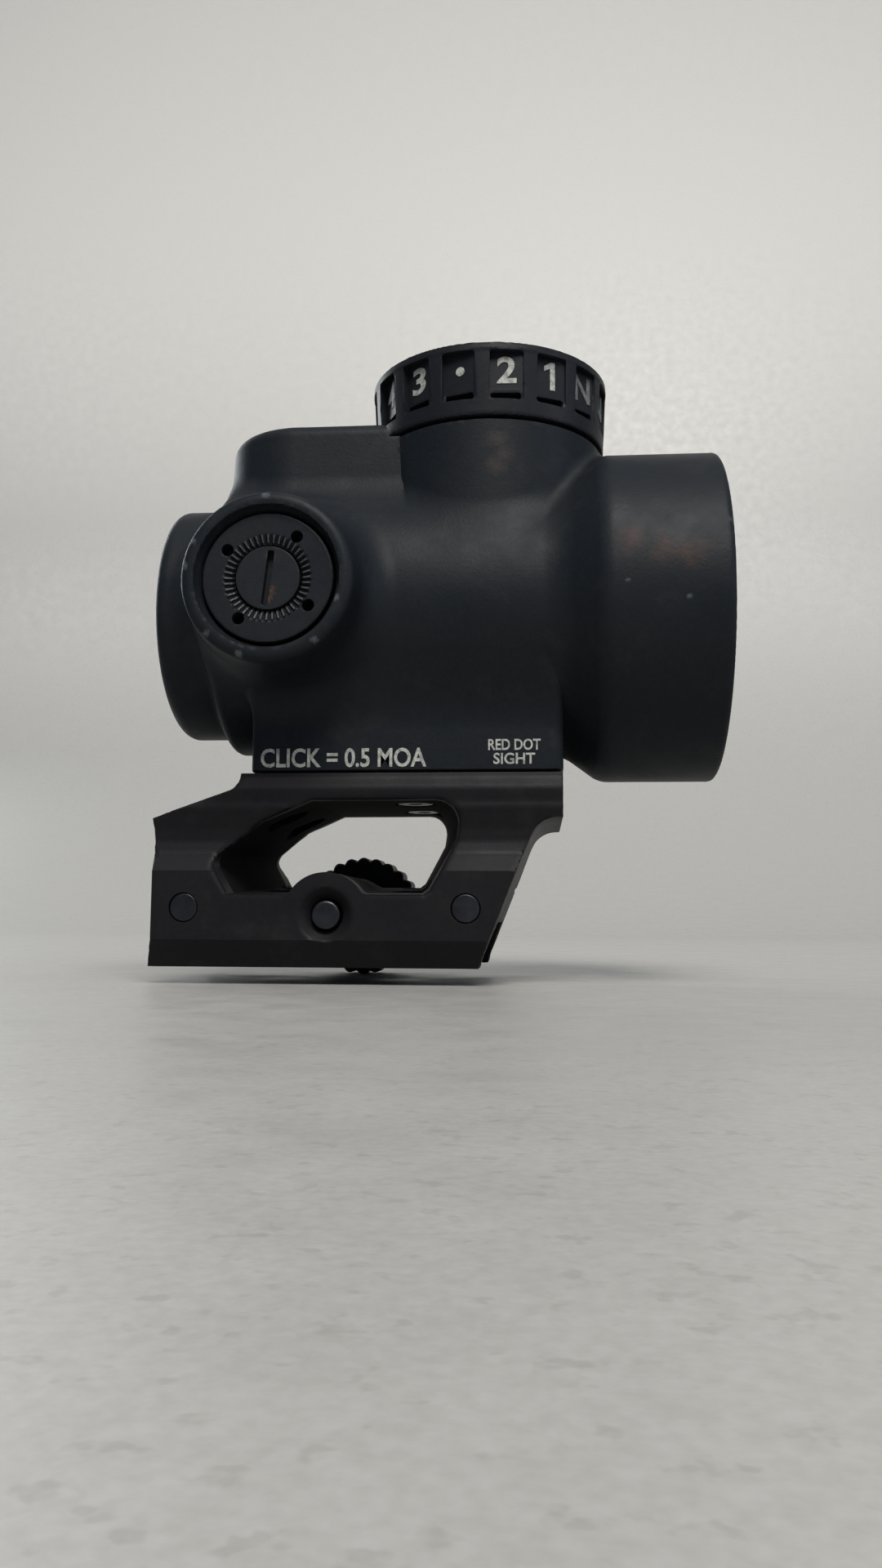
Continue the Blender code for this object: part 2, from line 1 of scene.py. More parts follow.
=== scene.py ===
"""Looks of a compact tube red dot sight on a quick-release riser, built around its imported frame.

Shapes are in millimetres in the frame's axes (+X forward, +Z up, -Y the shooter's right) and are
turned into metres when a mesh is made.  Cast and machined bodies are distance fields: a function
gives the distance to the surface, negative inside, and contour() makes the mesh.
"""
import json
import math

import bmesh
import bpy
import numpy as np
from mathutils import Matrix, Vector


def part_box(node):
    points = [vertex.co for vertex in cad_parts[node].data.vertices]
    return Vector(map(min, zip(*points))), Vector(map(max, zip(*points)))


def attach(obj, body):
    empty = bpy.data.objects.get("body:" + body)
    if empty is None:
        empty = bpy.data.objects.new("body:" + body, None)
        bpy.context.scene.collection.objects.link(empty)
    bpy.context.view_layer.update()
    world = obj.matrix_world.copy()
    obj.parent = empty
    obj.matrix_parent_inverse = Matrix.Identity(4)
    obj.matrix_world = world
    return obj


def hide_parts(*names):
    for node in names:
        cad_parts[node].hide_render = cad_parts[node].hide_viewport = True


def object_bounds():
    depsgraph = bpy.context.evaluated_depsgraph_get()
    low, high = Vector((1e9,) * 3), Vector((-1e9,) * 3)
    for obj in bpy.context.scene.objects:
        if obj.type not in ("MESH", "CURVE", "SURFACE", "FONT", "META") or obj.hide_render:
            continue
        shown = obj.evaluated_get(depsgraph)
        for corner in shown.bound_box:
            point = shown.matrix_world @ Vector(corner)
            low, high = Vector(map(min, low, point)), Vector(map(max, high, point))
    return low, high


MM = 0.001
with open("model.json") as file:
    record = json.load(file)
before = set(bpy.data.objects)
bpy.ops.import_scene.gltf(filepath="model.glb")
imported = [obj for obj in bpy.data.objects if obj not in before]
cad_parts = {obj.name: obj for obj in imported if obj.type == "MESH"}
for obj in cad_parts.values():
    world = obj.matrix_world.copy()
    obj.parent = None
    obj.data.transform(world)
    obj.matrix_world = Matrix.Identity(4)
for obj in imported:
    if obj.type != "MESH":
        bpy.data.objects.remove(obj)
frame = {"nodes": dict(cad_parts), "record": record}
cad_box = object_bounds()


def span(node):
    """Lowest and highest corners of a CAD node in millimetres."""
    low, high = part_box(node)
    return np.array(low) / MM, np.array(high) / MM


def middle(node):
    low, high = span(node)
    return (low + high) / 2


# ---------------------------------------------------------------- sizes read from the frame
HOUSING_LOW, HOUSING_HIGH = span("housing")
REAR_X, FRONT_X = HOUSING_LOW[0], HOUSING_HIGH[0]
AXIS_Z = middle("objective_lens")[2]
BELL_R = round(HOUSING_HIGH[1], 2)
ADJUSTER_X = middle("windage_retaining_ring")[0]
ADJUSTER_TOP = -HOUSING_LOW[1]
RING_R = (span("windage_retaining_ring")[1] - span("windage_retaining_ring")[0])[0] / 2 + 0.15
RING_TOP = -span("windage_retaining_ring")[0][1]
SLOT_TOP = -span("windage_dial")[0][1]
FLANGE_TOP = span("brightness_dial")[1][2] + 0.2
DIAL_X = middle("battery")[0]
DIAL_R = span("brightness_dial")[1][0] - DIAL_X
FOOT_Z = HOUSING_LOW[2]
RISER_LOW, RISER_HIGH = span("riser_mount")
BOLT_X, _, BOLT_Z = middle("cross_bolt")
WHEEL_LOW, WHEEL_HIGH = span("click_wheel")
WHEEL_R = (WHEEL_HIGH - WHEEL_LOW)[0] / 2
PIN_XS = (middle("guide_pin_rear")[0], middle("guide_pin_front")[0])
PIN_Z = middle("guide_pin_rear")[2]

# ---------------------------------------------------------------- sizes that only the looks need
BODY_R = 16.4
EYEPIECE_R = 14.4
SHOULDER_X = -26.4
NECK_X, BELL_X = 14.2, 19.1    # ends of the flare that opens the body into the bell
FOOT_HALF_Y = 12.0
TURRET_R = 14.1
DECK_Z = AXIS_Z + 20.9
DIAL_BASE_Z = DECK_Z + 0.3
DIAL_STEPS = 16
DIAL_PHASE = math.radians(-1.0)
POCKET_LOW_Z, POCKET_HIGH_Z = AXIS_Z + 23.15, AXIS_Z + 28.85
ADJUSTER_RIM_R = 9.45
ADJUSTER_BORE_R = 7.45
RISER_TOP = FOOT_Z - 0.1
CHAMFER_Z = -2.0               # top of the chamfer along the riser's lower edges
BOSS_R = 4.8                   # round the cross-bolt
BOLT_BORE_R = 2.65
PIN_BORE_R = 1.3
RISER_HALF_Y = 14.1
SEAT_EDGE_Y = 8.9              # far edge of the rail seat, where the jaw takes over
RAIL_HALF_Y = 10.9             # dovetail at its widest, and the flat there
RAIL_EDGE_LOW, RAIL_EDGE_HIGH = -3.3, -2.7
SEAT_REAR_X = -32.2
KEY_X = -10.5
SERRATIONS = 44
SCALE_IN_R, SCALE_OUT_R = 3.7, 4.9
SCALE_DROP, SCALE_SLOPE = 0.42, 0.4
RING_BASE, SLOT_BASE = 20.1, 19.0
SPIGOT_BASE_Z = 54.5
PAD_SLOPE = 0.14               # lean of each number pad on the dial
CAP_R, CAP_BASE_Z, CAP_TOP_Z = 10.9, 63.9, 66.6
LOCK_RING_SEGMENTS = 128
SENSOR_MM = 36.0


# ---------------------------------------------------------------- distance fields
def rounded_join(a, b, r):
    """Union of two fields with a concave fillet of radius r."""
    return np.maximum(r, np.minimum(a, b)) - np.hypot(np.maximum(r - a, 0), np.maximum(r - b, 0))


def rounded_meet(a, b, r):
    """Common part of two fields, its edge rounded to radius r."""
    return np.minimum(-r, np.maximum(a, b)) + np.hypot(np.maximum(a + r, 0), np.maximum(b + r, 0))


def rounded_cut(a, b, r):
    """Field a without field b, the new edge rounded to radius r."""
    return rounded_meet(a, -b, r)


def between(value, low, high):
    """Distance to the slab low < value < high."""
    return np.maximum(low - value, value - high)


def outline_field(u, v, points):
    """Signed distance to a closed polygon in a plane."""
    nearest = np.full(u.shape, 1e9)
    inside = np.zeros(u.shape, bool)
    for (x0, y0), (x1, y1) in zip(points, points[1:] + points[:1]):
        ex, ey = x1 - x0, y1 - y0
        wu, wv = u - x0, v - y0
        t = np.clip((wu * ex + wv * ey) / (ex * ex + ey * ey), 0, 1)
        nearest = np.minimum(nearest, (wu - ex * t) ** 2 + (wv - ey * t) ** 2)
        if y0 != y1:
            crosses = (v >= min(y0, y1)) & (v < max(y0, y1)) & (wu < wv * ex / ey)
            inside ^= crosses
    distance = np.sqrt(nearest)
    return np.where(inside, -distance, distance)


def arc(cx, cy, radius, start, end, steps):
    """Points along an arc, angles in degrees."""
    angles = [math.radians(start + (end - start) * k / steps) for k in range(steps + 1)]
    return [(cx + radius * math.cos(a), cy + radius * math.sin(a)) for a in angles]


# ---------------------------------------------------------------- objects
def linked(name, data):
    """Object that holds a mesh, curve, lamp or camera, linked into the scene."""
    obj = bpy.data.objects.new(name, data)
    bpy.context.collection.objects.link(obj)
    return obj


def from_bmesh(name, bm):
    """Object from a finished bmesh, which is freed."""
    mesh = bpy.data.meshes.new(name)
    bm.to_mesh(mesh)
    bm.free()
    return linked(name, mesh)


# ---------------------------------------------------------------- meshing a field
BLOCK = 8                      # cells along each side of a block
BLOCKS_AT_ONCE = 300


def sample_blocks(field, origin, step, blocks):
    """Field values at the corners of every cell in the blocks."""
    ticks = np.arange(BLOCK + 1) * step
    values = np.empty((len(blocks),) + (BLOCK + 1,) * 3)
    for start in range(0, len(blocks), BLOCKS_AT_ONCE):
        part = origin + blocks[start:start + BLOCKS_AT_ONCE] * (BLOCK * step)
        x = part[:, 0, None, None, None] + ticks[None, :, None, None]
        y = part[:, 1, None, None, None] + ticks[None, None, :, None]
        z = part[:, 2, None, None, None] + ticks[None, None, None, :]
        x, y, z = np.broadcast_arrays(x, y, z)
        values[start:start + BLOCKS_AT_ONCE] = field(x, y, z)
    return values


def edge_crossings(field, origin, step, blocks, values, axis):
    """Places where the grid edges along one axis pass through the surface."""
    end = BLOCK
    first = values[:, :end, :end, :end]
    shift = [slice(0, end)] * 3
    shift[axis] = slice(1, end + 1)
    second = values[(slice(None),) + tuple(shift)]
    b, i, j, k = np.nonzero((first < 0) != (second < 0))
    cell = blocks[b] * BLOCK + np.stack([i, j, k], 1)
    f0, f1 = first[b, i, j, k], second[b, i, j, k]
    rising = f0 < 0
    start = origin + cell * step
    t0, t1 = np.zeros(len(b)), np.ones(len(b))
    for _ in range(3):
        t = t0 + (t1 - t0) * np.clip(f0 / (f0 - f1), 0.02, 0.98)
        place = start.copy()
        place[:, axis] += t * step
        f = field(place[:, 0], place[:, 1], place[:, 2])
        same = (f < 0) == (f0 < 0)
        t0, f0 = np.where(same, t, t0), np.where(same, f, f0)
        t1, f1 = np.where(same, t1, t), np.where(same, f1, f)
    t = t0 + (t1 - t0) * f0 / (f0 - f1)
    place = start.copy()
    place[:, axis] += t * step
    return cell, place, rising


def gradient(field, place, reach):
    """Unit normals of the field from four samples round each place."""
    normal = np.zeros_like(place)
    for corner in ((1, -1, -1), (-1, -1, 1), (-1, 1, -1), (1, 1, 1)):
        corner = np.array(corner, float)
        at = place + corner * reach
        normal += corner * field(at[:, 0], at[:, 1], at[:, 2])[:, None]
    return normal / np.maximum(np.linalg.norm(normal, axis=1), 1e-9)[:, None]


def fit_vertices(origin, step, cells, owner, places, normals):
    """One vertex for each cell, where the planes of its crossings meet."""
    count = len(cells)

    def total(weights):
        return np.bincount(owner, weights, count)

    number = total(None)
    centre = np.stack([total(places[:, a]) for a in range(3)], 1) / number[:, None]
    square = np.empty((count, 3, 3))
    for a in range(3):
        for b in range(a, 3):
            square[:, a, b] = square[:, b, a] = total(normals[:, a] * normals[:, b])
    offset = (normals * places).sum(1)
    target = np.stack([total(normals[:, a] * offset) for a in range(3)], 1)
    target -= np.einsum("nab,nb->na", square, centre)
    size, basis = np.linalg.eigh(square)
    strong = size > 0.06 * size[:, 2:3]
    inverse = np.where(strong, 1 / np.maximum(size, 1e-9), 0)
    move = np.einsum("nab,nb,ncb,nc->na", basis, inverse, basis, target)
    low = origin + cells * step
    return np.clip(centre + move, low, low + step)


def contour(field, low, high, step):
    """Vertices and quads of the surface where the field is zero, crisp edges kept."""
    origin = np.array(low, float) - 1.37 * step
    size = BLOCK * step
    count = np.ceil((np.array(high) + 1.5 * step - origin) / size).astype(int)
    blocks = np.stack(np.meshgrid(*[np.arange(n) for n in count], indexing="ij"), -1).reshape(-1, 3)
    centres = origin + (blocks + 0.5) * size
    near = np.abs(field(centres[:, 0], centres[:, 1], centres[:, 2])) < 0.9 * size + step
    blocks = blocks[near]
    values = sample_blocks(field, origin, step, blocks)

    found = [edge_crossings(field, origin, step, blocks, values, axis) for axis in range(3)]
    corners, owners_of, normals_of = [], [], []
    for axis, (cell, place, rising) in enumerate(found):
        one, two = np.eye(3, dtype=int)[(axis + 1) % 3], np.eye(3, dtype=int)[(axis + 2) % 3]
        ring = np.stack([cell - one - two, cell - two, cell, cell - one], 1)
        ring[~rising] = ring[~rising][:, ::-1]
        corners.append(ring)
        owners_of.append(np.repeat(place, 4, axis=0))
        normals_of.append(np.repeat(gradient(field, place, 0.04 * step), 4, axis=0))
    corners = np.concatenate(corners)
    stride = count * BLOCK + 3
    keys = (corners[..., 0] + 1) * stride[1] + corners[..., 1] + 1
    keys = keys * stride[2] + corners[..., 2] + 1
    unique, first, owner = np.unique(keys.ravel(), return_index=True, return_inverse=True)
    cells = corners.reshape(-1, 3)[first]
    vertices = fit_vertices(origin, step, cells, owner.ravel(), np.concatenate(owners_of),
                            np.concatenate(normals_of))
    return vertices, owner.reshape(-1, 4)


def mesh_object(name, vertices, quads, matrix=None):
    """Object from vertices in millimetres and quads."""
    if matrix is not None:
        vertices = vertices @ np.array(matrix.to_3x3()).T + np.array(matrix.translation) / MM
    mesh = bpy.data.meshes.new(name)
    mesh.vertices.add(len(vertices))
    mesh.vertices.foreach_set("co", (vertices * MM).astype(np.float32).ravel())
    mesh.loops.add(quads.size)
    mesh.loops.foreach_set("vertex_index", quads.astype(np.int32).ravel())
    mesh.polygons.add(len(quads))
    mesh.polygons.foreach_set("loop_start", np.arange(0, quads.size, 4, dtype=np.int32))
    mesh.update(calc_edges=True)
    return linked(name, mesh)


def smooth(obj, angle=32):
    obj.data.shade_smooth()
    obj.data.set_sharp_from_angle(angle=math.radians(angle))


def solid(name, field, low, high, step, matrix=None, angle=32):
    vertices, quads = contour(field, low, high, step)
    obj = mesh_object(name, vertices, quads, matrix)
    smooth(obj, angle)
    return obj


# ---------------------------------------------------------------- placing
def facing(axis, x=0.0, y=0.0, z=0.0):
    """Matrix that puts a piece made about local +Z at a place, facing along a frame axis."""
    angle, about = {"+Z": (0.0, "X"), "-Y": (math.pi / 2, "X"), "+Y": (-math.pi / 2, "X"),
                    "+X": (math.pi / 2, "Y")}[axis]
    return Matrix.Translation(Vector((x, y, z)) * MM) @ Matrix.Rotation(angle, 4, about)


def finish(obj, body, slot, material, *replaced):
    """Give a piece its body and look (the slot argument is not used), and hide the CAD nodes that
    it stands for.
    """
    obj.data.materials.clear()
    obj.data.materials.append(material)
    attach(obj, body)
    if replaced:
        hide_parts(*replaced)
    return obj


def lathe(name, profile, matrix, segments=128, closed=False, angle=32):
    """Turned piece from (radius, height) points about local +Z, from its lower to its upper end."""
    bm = bmesh.new()
    rings = []
    for radius, height in profile:
        count = segments if radius > 1e-6 else 1
        rings.append([bm.verts.new((radius * math.cos(2 * math.pi * k / segments) * MM,
                                    radius * math.sin(2 * math.pi * k / segments) * MM,
                                    height * MM)) for k in range(count)])
    pairs = list(zip(rings, rings[1:]))
    if closed:
        pairs.append((rings[-1], rings[0]))
    for low, high in pairs:
        for k in range(segments):
            n = (k + 1) % segments
            if len(low) == 1:
                bm.faces.new((low[0], high[n], high[k]))
            elif len(high) == 1:
                bm.faces.new((low[k], low[n], high[0]))
            else:
                bm.faces.new((low[k], low[n], high[n], high[k]))
    bmesh.ops.recalc_face_normals(bm, faces=bm.faces)
    bm.transform(matrix)
    obj = from_bmesh(name, bm)
    smooth(obj, angle)
    return obj


def soft_corner(profile, radius=0.25, steps=4, closed=False):
    """Round every corner of a turned outline."""
    points = [Vector(p) for p in profile]
    count = len(points)
    result = []
    for k, point in enumerate(points):
        if not closed and k in (0, count - 1):
            result.append(tuple(point))
            continue
        before, after = points[k - 1], points[(k + 1) % count]
        back, on = (before - point), (after - point)
        reach = min(radius, back.length * 0.45, on.length * 0.45)
        start, end = point + back.normalized() * reach, point + on.normalized() * reach
        for s in range(steps + 1):
            t = s / steps
            result.append(tuple(start * (1 - t) ** 2 + point * 2 * t * (1 - t) + end * t * t))
    return result


# ---------------------------------------------------------------- materials
def new_material(name):
    """A material, a helper for its nodes and its shader."""
    mat = bpy.data.materials.new(name)
    mat.use_nodes = True
    return mat, Nodes(mat.node_tree), mat.node_tree.nodes["Principled BSDF"]


class Nodes:
    """Small helper that adds and links shader nodes."""

    def __init__(self, tree):
        self.tree = tree

    def add(self, kind, **settings):
        node = self.tree.nodes.new(kind)
        for key, value in settings.items():
            setattr(node, key, value)
        return node

    def link(self, source, target):
        self.tree.links.new(source, target)

    def place(self):
        return self.add("ShaderNodeTexCoord").outputs["Object"]

    def noise(self, scale, detail=4.0, roughness=0.55):
        node = self.add("ShaderNodeTexNoise")
        node.inputs["Scale"].default_value = scale
        node.inputs["Detail"].default_value = detail
        node.inputs["Roughness"].default_value = roughness
        self.link(self.place(), node.inputs["Vector"])
        return node.outputs["Fac"]

    def spread(self, value, low, high, to_low=0.0, to_high=1.0):
        node = self.add("ShaderNodeMapRange")
        for key, number in zip(("From Min", "From Max", "To Min", "To Max"),
                               (low, high, to_low, to_high)):
            node.inputs[key].default_value = number
        self.link(value, node.inputs["Value"])
        return node.outputs["Result"]

    def math(self, operation, a, b):
        node = self.add("ShaderNodeMath", operation=operation)
        for socket, value in zip(node.inputs, (a, b)):
            if isinstance(value, (int, float)):
                socket.default_value = value
            else:
                self.link(value, socket)
        return node.outputs[0]

    def mix(self, factor, a, b):
        node = self.add("ShaderNodeMix", data_type="RGBA")
        self.link(factor, node.inputs["Factor"])
        for index, value in ((6, a), (7, b)):
            if isinstance(value, tuple):
                node.inputs[index].default_value = (*value, 1.0)
            else:
                self.link(value, node.inputs[index])
        return node.outputs[2]

    def within(self, low, high):
        """1 well inside a box given by its corners in mm, falling to 0 at its faces."""
        parts = self.add("ShaderNodeSeparateXYZ")
        self.link(self.place(), parts.inputs[0])
        inside = None
        for axis in range(3):
            centre, half = (low[axis] + high[axis]) / 2 * MM, (high[axis] - low[axis]) / 2 * MM
            off = self.math("ABSOLUTE", self.math("SUBTRACT", parts.outputs[axis], centre), 0)
            part = self.spread(off, half - 0.8 * MM, half, 1.0, 0.0)
            inside = part if inside is None else self.math("MINIMUM", inside, part)
        return inside

    def bump(self, height, distance, strength=1.0, under=None):
        node = self.add("ShaderNodeBump")
        node.inputs["Strength"].default_value = strength
        node.inputs["Distance"].default_value = distance
        self.link(height, node.inputs["Height"])
        if under is not None:
            self.link(under, node.inputs["Normal"])
        return node.outputs["Normal"]


def anodised(name, colour, tint, roughness, grain=1.0, marks_and_reflection=None, painted_shade_box=None):
    """Hard-anodised aluminium: blasted grain, faint cloudy tint and handling marks.

    The box argument gives the low and high corners (mm) of a pocket whose walls get painted shade:
    a colour darkened to 0.4 of the base, and a rougher finish.
    """
    mat, n, shader = new_material(name)
    cloud = n.spread(n.noise(70.0, 3.0), 0.35, 0.65)
    fine = n.spread(n.noise(1400.0, 3.0, 0.7), 0.3, 0.7)
    base = n.mix(cloud, colour, tint)
    speck = n.mix(n.math("MULTIPLY", fine, 0.35), base, tuple(c * 1.9 for c in colour))
    smear = n.spread(n.noise(160.0, 5.0, 0.65), 0.56, 0.72)
    shade = n.mix(n.math("MULTIPLY", smear, 0.10), speck, (0.07, 0.066, 0.062))
    # The marks function can paint light as well as wear: for the housing it adds a painted warm
    # reflection on the turret.
    if marks_and_reflection is not None:
        shade = marks_and_reflection(n, shade)
    rough = n.spread(n.noise(240.0, 4.0), 0.3, 0.7, roughness - 0.05, roughness + 0.06)
    # Painted shade: inside the given pocket the colour is darkened to 0.4 of the base, standing in
    # for the shade there; the walls are also made rougher.
    if painted_shade_box is not None:
        inside = n.within(*painted_shade_box)
        shade = n.mix(inside, shade, tuple(c * 0.4 for c in colour))
        rough = n.math("MAXIMUM", rough, n.math("MULTIPLY", inside, 0.9))
    n.link(shade, shader.inputs["Base Color"])
    n.link(rough, shader.inputs["Roughness"])
    blast = n.bump(n.noise(2600.0, 2.0, 0.6), 0.00004 * grain, 0.55)
    ripple = n.bump(n.noise(420.0, 2.0), 0.00008 * grain, 0.18, blast)
    n.link(ripple, shader.inputs["Normal"])
    shader.inputs["Specular IOR Level"].default_value = 0.13
    return mat


def metal(name, colour, roughness, scale=900.0):
    mat, n, shader = new_material(name)
    base = n.mix(n.spread(n.noise(scale * 0.3), 0.3, 0.7), colour, tuple(c * 0.72 for c in colour))
    n.link(base, shader.inputs["Base Color"])
    rough = n.spread(n.noise(scale), 0.3, 0.7, roughness - 0.06, roughness + 0.08)
    n.link(rough, shader.inputs["Roughness"])
    n.link(n.bump(n.noise(scale * 2, 2.0), 0.00002, 0.5), shader.inputs["Normal"])
    shader.inputs["Metallic"].default_value = 1.0
    return mat


def rubber(name):
    mat, n, shader = new_material(name)
    n.link(n.mix(n.noise(500.0), (0.012, 0.012, 0.013), (0.03, 0.03, 0.03)),
           shader.inputs["Base Color"])
    n.link(n.spread(n.noise(900.0), 0.3, 0.7, 0.6, 0.8), shader.inputs["Roughness"])
    return mat


def paint(name, colour, fade):
    """Worn lettering paint."""
    mat, n, shader = new_material(name)
    n.link(n.mix(n.spread(n.noise(1500.0, 4.0, 0.7), 0.42, 0.66), colour, fade),
           shader.inputs["Base Color"])
    n.link(n.spread(n.noise(1200.0), 0.3, 0.7, 0.55, 0.75), shader.inputs["Roughness"])
    return mat


def coated_glass(name, tint):
    """Lens glass with a faint coating tint."""
    mat, n, shader = new_material(name)
    edge = n.add("ShaderNodeLayerWeight")
    edge.inputs["Blend"].default_value = 0.35
    film = n.mix(edge.outputs["Facing"], tint, tuple(min(1.0, c * 1.15) for c in tint))
    n.link(film, shader.inputs["Base Color"])
    n.link(n.spread(n.noise(300.0), 0.3, 0.7, 0.01, 0.04), shader.inputs["Roughness"])
    shader.inputs["Transmission Weight"].default_value = 1.0
    shader.inputs["IOR"].default_value = 1.5
    shader.inputs["Coat Weight"].default_value = 0.6
    shader.inputs["Coat Roughness"].default_value = 0.03
    shader.inputs["Coat Tint"].default_value = (0.75, 0.55, 0.95, 1.0)
    return mat


def board_mask(name):
    """Green solder mask of a circuit board."""
    mat, n, shader = new_material(name)
    n.link(n.mix(n.spread(n.noise(700.0), 0.45, 0.55), (0.02, 0.16, 0.08), (0.03, 0.22, 0.12)),
           shader.inputs["Base Color"])
    n.link(n.spread(n.noise(400.0), 0.3, 0.7, 0.35, 0.5), shader.inputs["Roughness"])
    return mat


def nearest_distance(n, places):
    """Distance from the shaded point to the closest of some places (mm in the frame)."""
    nearest = None
    for spot in places:
        node = n.add("ShaderNodeVectorMath", operation="DISTANCE")
        node.inputs[1].default_value = [value * MM for value in spot]
        n.link(n.place(), node.inputs[0])
        distance = node.outputs["Value"]
        nearest = distance if nearest is None else n.math("MINIMUM", nearest, distance)
    return nearest


def marked(n, shade, places, radius, strength, colour):
    """Ragged marks of one colour, about radius mm across, round each place."""
    ragged = n.math("ADD", nearest_distance(n, places),
                    n.spread(n.noise(900.0 / radius, 3.0, 0.7), 0.3, 0.7, 0.0, radius * MM))
    mask = n.spread(ragged, radius * MM * 0.5, radius * MM * 1.5, strength, 0.0)
    return n.mix(mask, shade, colour)


def on_windage(angle, radius, height):
    """Place on the windage boss; the angle is in degrees, 0 forward and 90 up."""
    turn = math.radians(angle)
    return ADJUSTER_X + radius * math.cos(turn), -height, AXIS_Z + radius * math.sin(turn)


def on_turret(angle, z):
    """Place on the turret's side; the angle is in degrees forward of the near side."""
    turn = math.radians(angle)
    return DIAL_X + TURRET_R * math.sin(turn), -TURRET_R * math.cos(turn), z


def housing_wear_and_reflection(n, shade):
    """Rubbed rims, small bright nicks and dull brown smudges from handling, and a painted warm
    reflection: a vertical run of light warm spots on the turret's near side.
    """
    rim = ADJUSTER_TOP - 0.2
    nicks = [on_windage(angle, 9.1, rim) for angle in (92, 153.8, 171.7, -135.8, -107.9, -52.7)]
    nicks += [on_windage(-18.8, 8.15, ADJUSTER_TOP), (32.8, -19.0, 43.75)]
    dots = [(21.4, -20.05, 36.9), (27.9, -19.9, 35.0), (12.6, -16.0, 25.4), (-9.1, -15.0, 29.7)]
    bell_smudges = [(21.9, -19.6, 41.5), (25.5, -19.7, 40.4), (28.3, -19.9, 39.9)]
    # Painted reflection: three warm light spots down the turret's near side stand in for a warm
    # reflection there.
    turret_warm_reflection = [on_turret(5, 52.4), on_turret(8, 53.8), on_turret(4.5, 55.5)]
    shade = marked(n, shade, bell_smudges, 2.2, 0.55, (0.052, 0.026, 0.020))
    # painted warm reflection on the turret
    shade = marked(n, shade, turret_warm_reflection, 1.6, 0.40, (0.060, 0.044, 0.038))
    shade = marked(n, shade, dots, 0.34, 0.6, (0.11, 0.12, 0.13))
    return marked(n, shade, nicks, 0.55, 0.6, (0.13, 0.14, 0.15))


def slot_wear(n, shade):
    """Copper-coloured rubbing where a coin has turned the windage screw."""
    places = [(ADJUSTER_X + along, -SLOT_TOP, AXIS_Z + up)
              for along, up in ((0.35, -1.5), (0.1, -2.3), (0.3, 2.4))]
    return marked(n, shade, places, 0.6, 0.55, (0.12, 0.062, 0.038))


def make_materials():
    return {
        # The housing's marks include a painted warm reflection on the turret.
        "housing": anodised("housing_anodised", (0.0072, 0.0090, 0.0115), (0.0095, 0.0110, 0.0132),
                            0.50, marks_and_reflection=housing_wear_and_reflection),
        # The riser's window walls get painted shade.
        "mount": anodised("mount_anodised", (0.0072, 0.0072, 0.0085), (0.0100, 0.0090, 0.0095),
                          0.48, 0.6, painted_shade_box=((-26.5, -11.9, 1.6), (4.5, 11.9, 15.5))),
        "fitting": anodised("fitting_anodised", (0.0095, 0.0105, 0.0135), (0.0130, 0.0130, 0.0145),
                            0.44, 0.7),
        "screw_head": anodised("screw_head_anodised", (0.0110, 0.0120, 0.0145),
                               (0.0140, 0.0145, 0.0165), 0.46, 0.7, marks_and_reflection=slot_wear),
        "steel": metal("black_steel", (0.055, 0.056, 0.062), 0.36),
        "cell": metal("cell_steel", (0.62, 0.62, 0.60), 0.28),
        "brass": metal("spring_brass", (0.60, 0.42, 0.20), 0.34),
        "rubber": rubber("seal_rubber"),
        "glass": coated_glass("coated_glass", (0.80, 0.93, 0.95)),
        "paint": paint("legend_paint", (0.42, 0.42, 0.38), (0.16, 0.16, 0.15)),
        "faded": paint("faded_paint", (0.13, 0.14, 0.13), (0.05, 0.05, 0.05)),
        "scale": paint("scale_paint", (0.070, 0.076, 0.078), (0.028, 0.030, 0.033)),
        "board": board_mask("circuit_board"),
    }


# ---------------------------------------------------------------- housing
def tube_and_bell(x, radial):
    """Body tube, flared bell and eyepiece about the sight axis."""
    body = rounded_meet(radial - BODY_R, between(x, SHOULDER_X, 22.0), 1.0)
    slope = math.atan2(BELL_R - BODY_R, BELL_X - NECK_X)
    flare = (radial - BODY_R) * math.cos(slope) - (x - NECK_X) * math.sin(slope)
    bell = rounded_meet(rounded_meet(radial - BELL_R, flare, 0.6), x - FRONT_X, 0.7)
    eyepiece = rounded_meet(radial - EYEPIECE_R, between(x, REAR_X, 0.0), 1.6)
    return rounded_join(rounded_join(body, bell, 1.2), eyepiece, 0.8)


def foot_form(x, y, z, radial):
    """Flat-sided keel that blends into the underside of the tube."""
    slab = rounded_meet(np.abs(y) - FOOT_HALF_Y, z + 4.0, 4.0)
    blended = rounded_join(radial - BODY_R, slab, 3.0)
    keel = rounded_meet(blended, between(x, -21.6, 14.5), 1.2)
    return rounded_meet(keel, (FOOT_Z - AXIS_Z) - z, 0.3)


def adjuster_tower(x, y, z):
    """Elevation boss and the flat-walled bridge to the turret."""
    across = np.hypot(x - ADJUSTER_X, y)
    drop = ADJUSTER_TOP - z
    half = 9.35 + 0.06 * drop
    boss = rounded_meet(across - half, -drop, 1.6)
    bridge = rounded_meet(np.abs(y) - half, -drop, 1.6)
    bridge = np.maximum(bridge, between(x, ADJUSTER_X, DIAL_X))
    return np.maximum(np.minimum(boss, bridge), 2.0 - z)


def adjuster_bore(across, height):
    """Recess for a retaining ring, with the lip that leads into it."""
    bore = np.maximum(across - ADJUSTER_BORE_R, 18.2 - height)
    lip = (across - ADJUSTER_BORE_R - 0.5 * np.clip((height - 21.3) / 1.2, 0, 1)) * 0.9
    lip = np.maximum(lip, 21.3 - height)
    hole = np.maximum(across - 3.5, 12.0 - height)
    return np.minimum(np.minimum(bore, lip), hole)


def recoil_key(x, y, half):
    """Square key between the riser and the foot."""
    return np.maximum(np.abs(x - KEY_X), np.abs(y)) - half


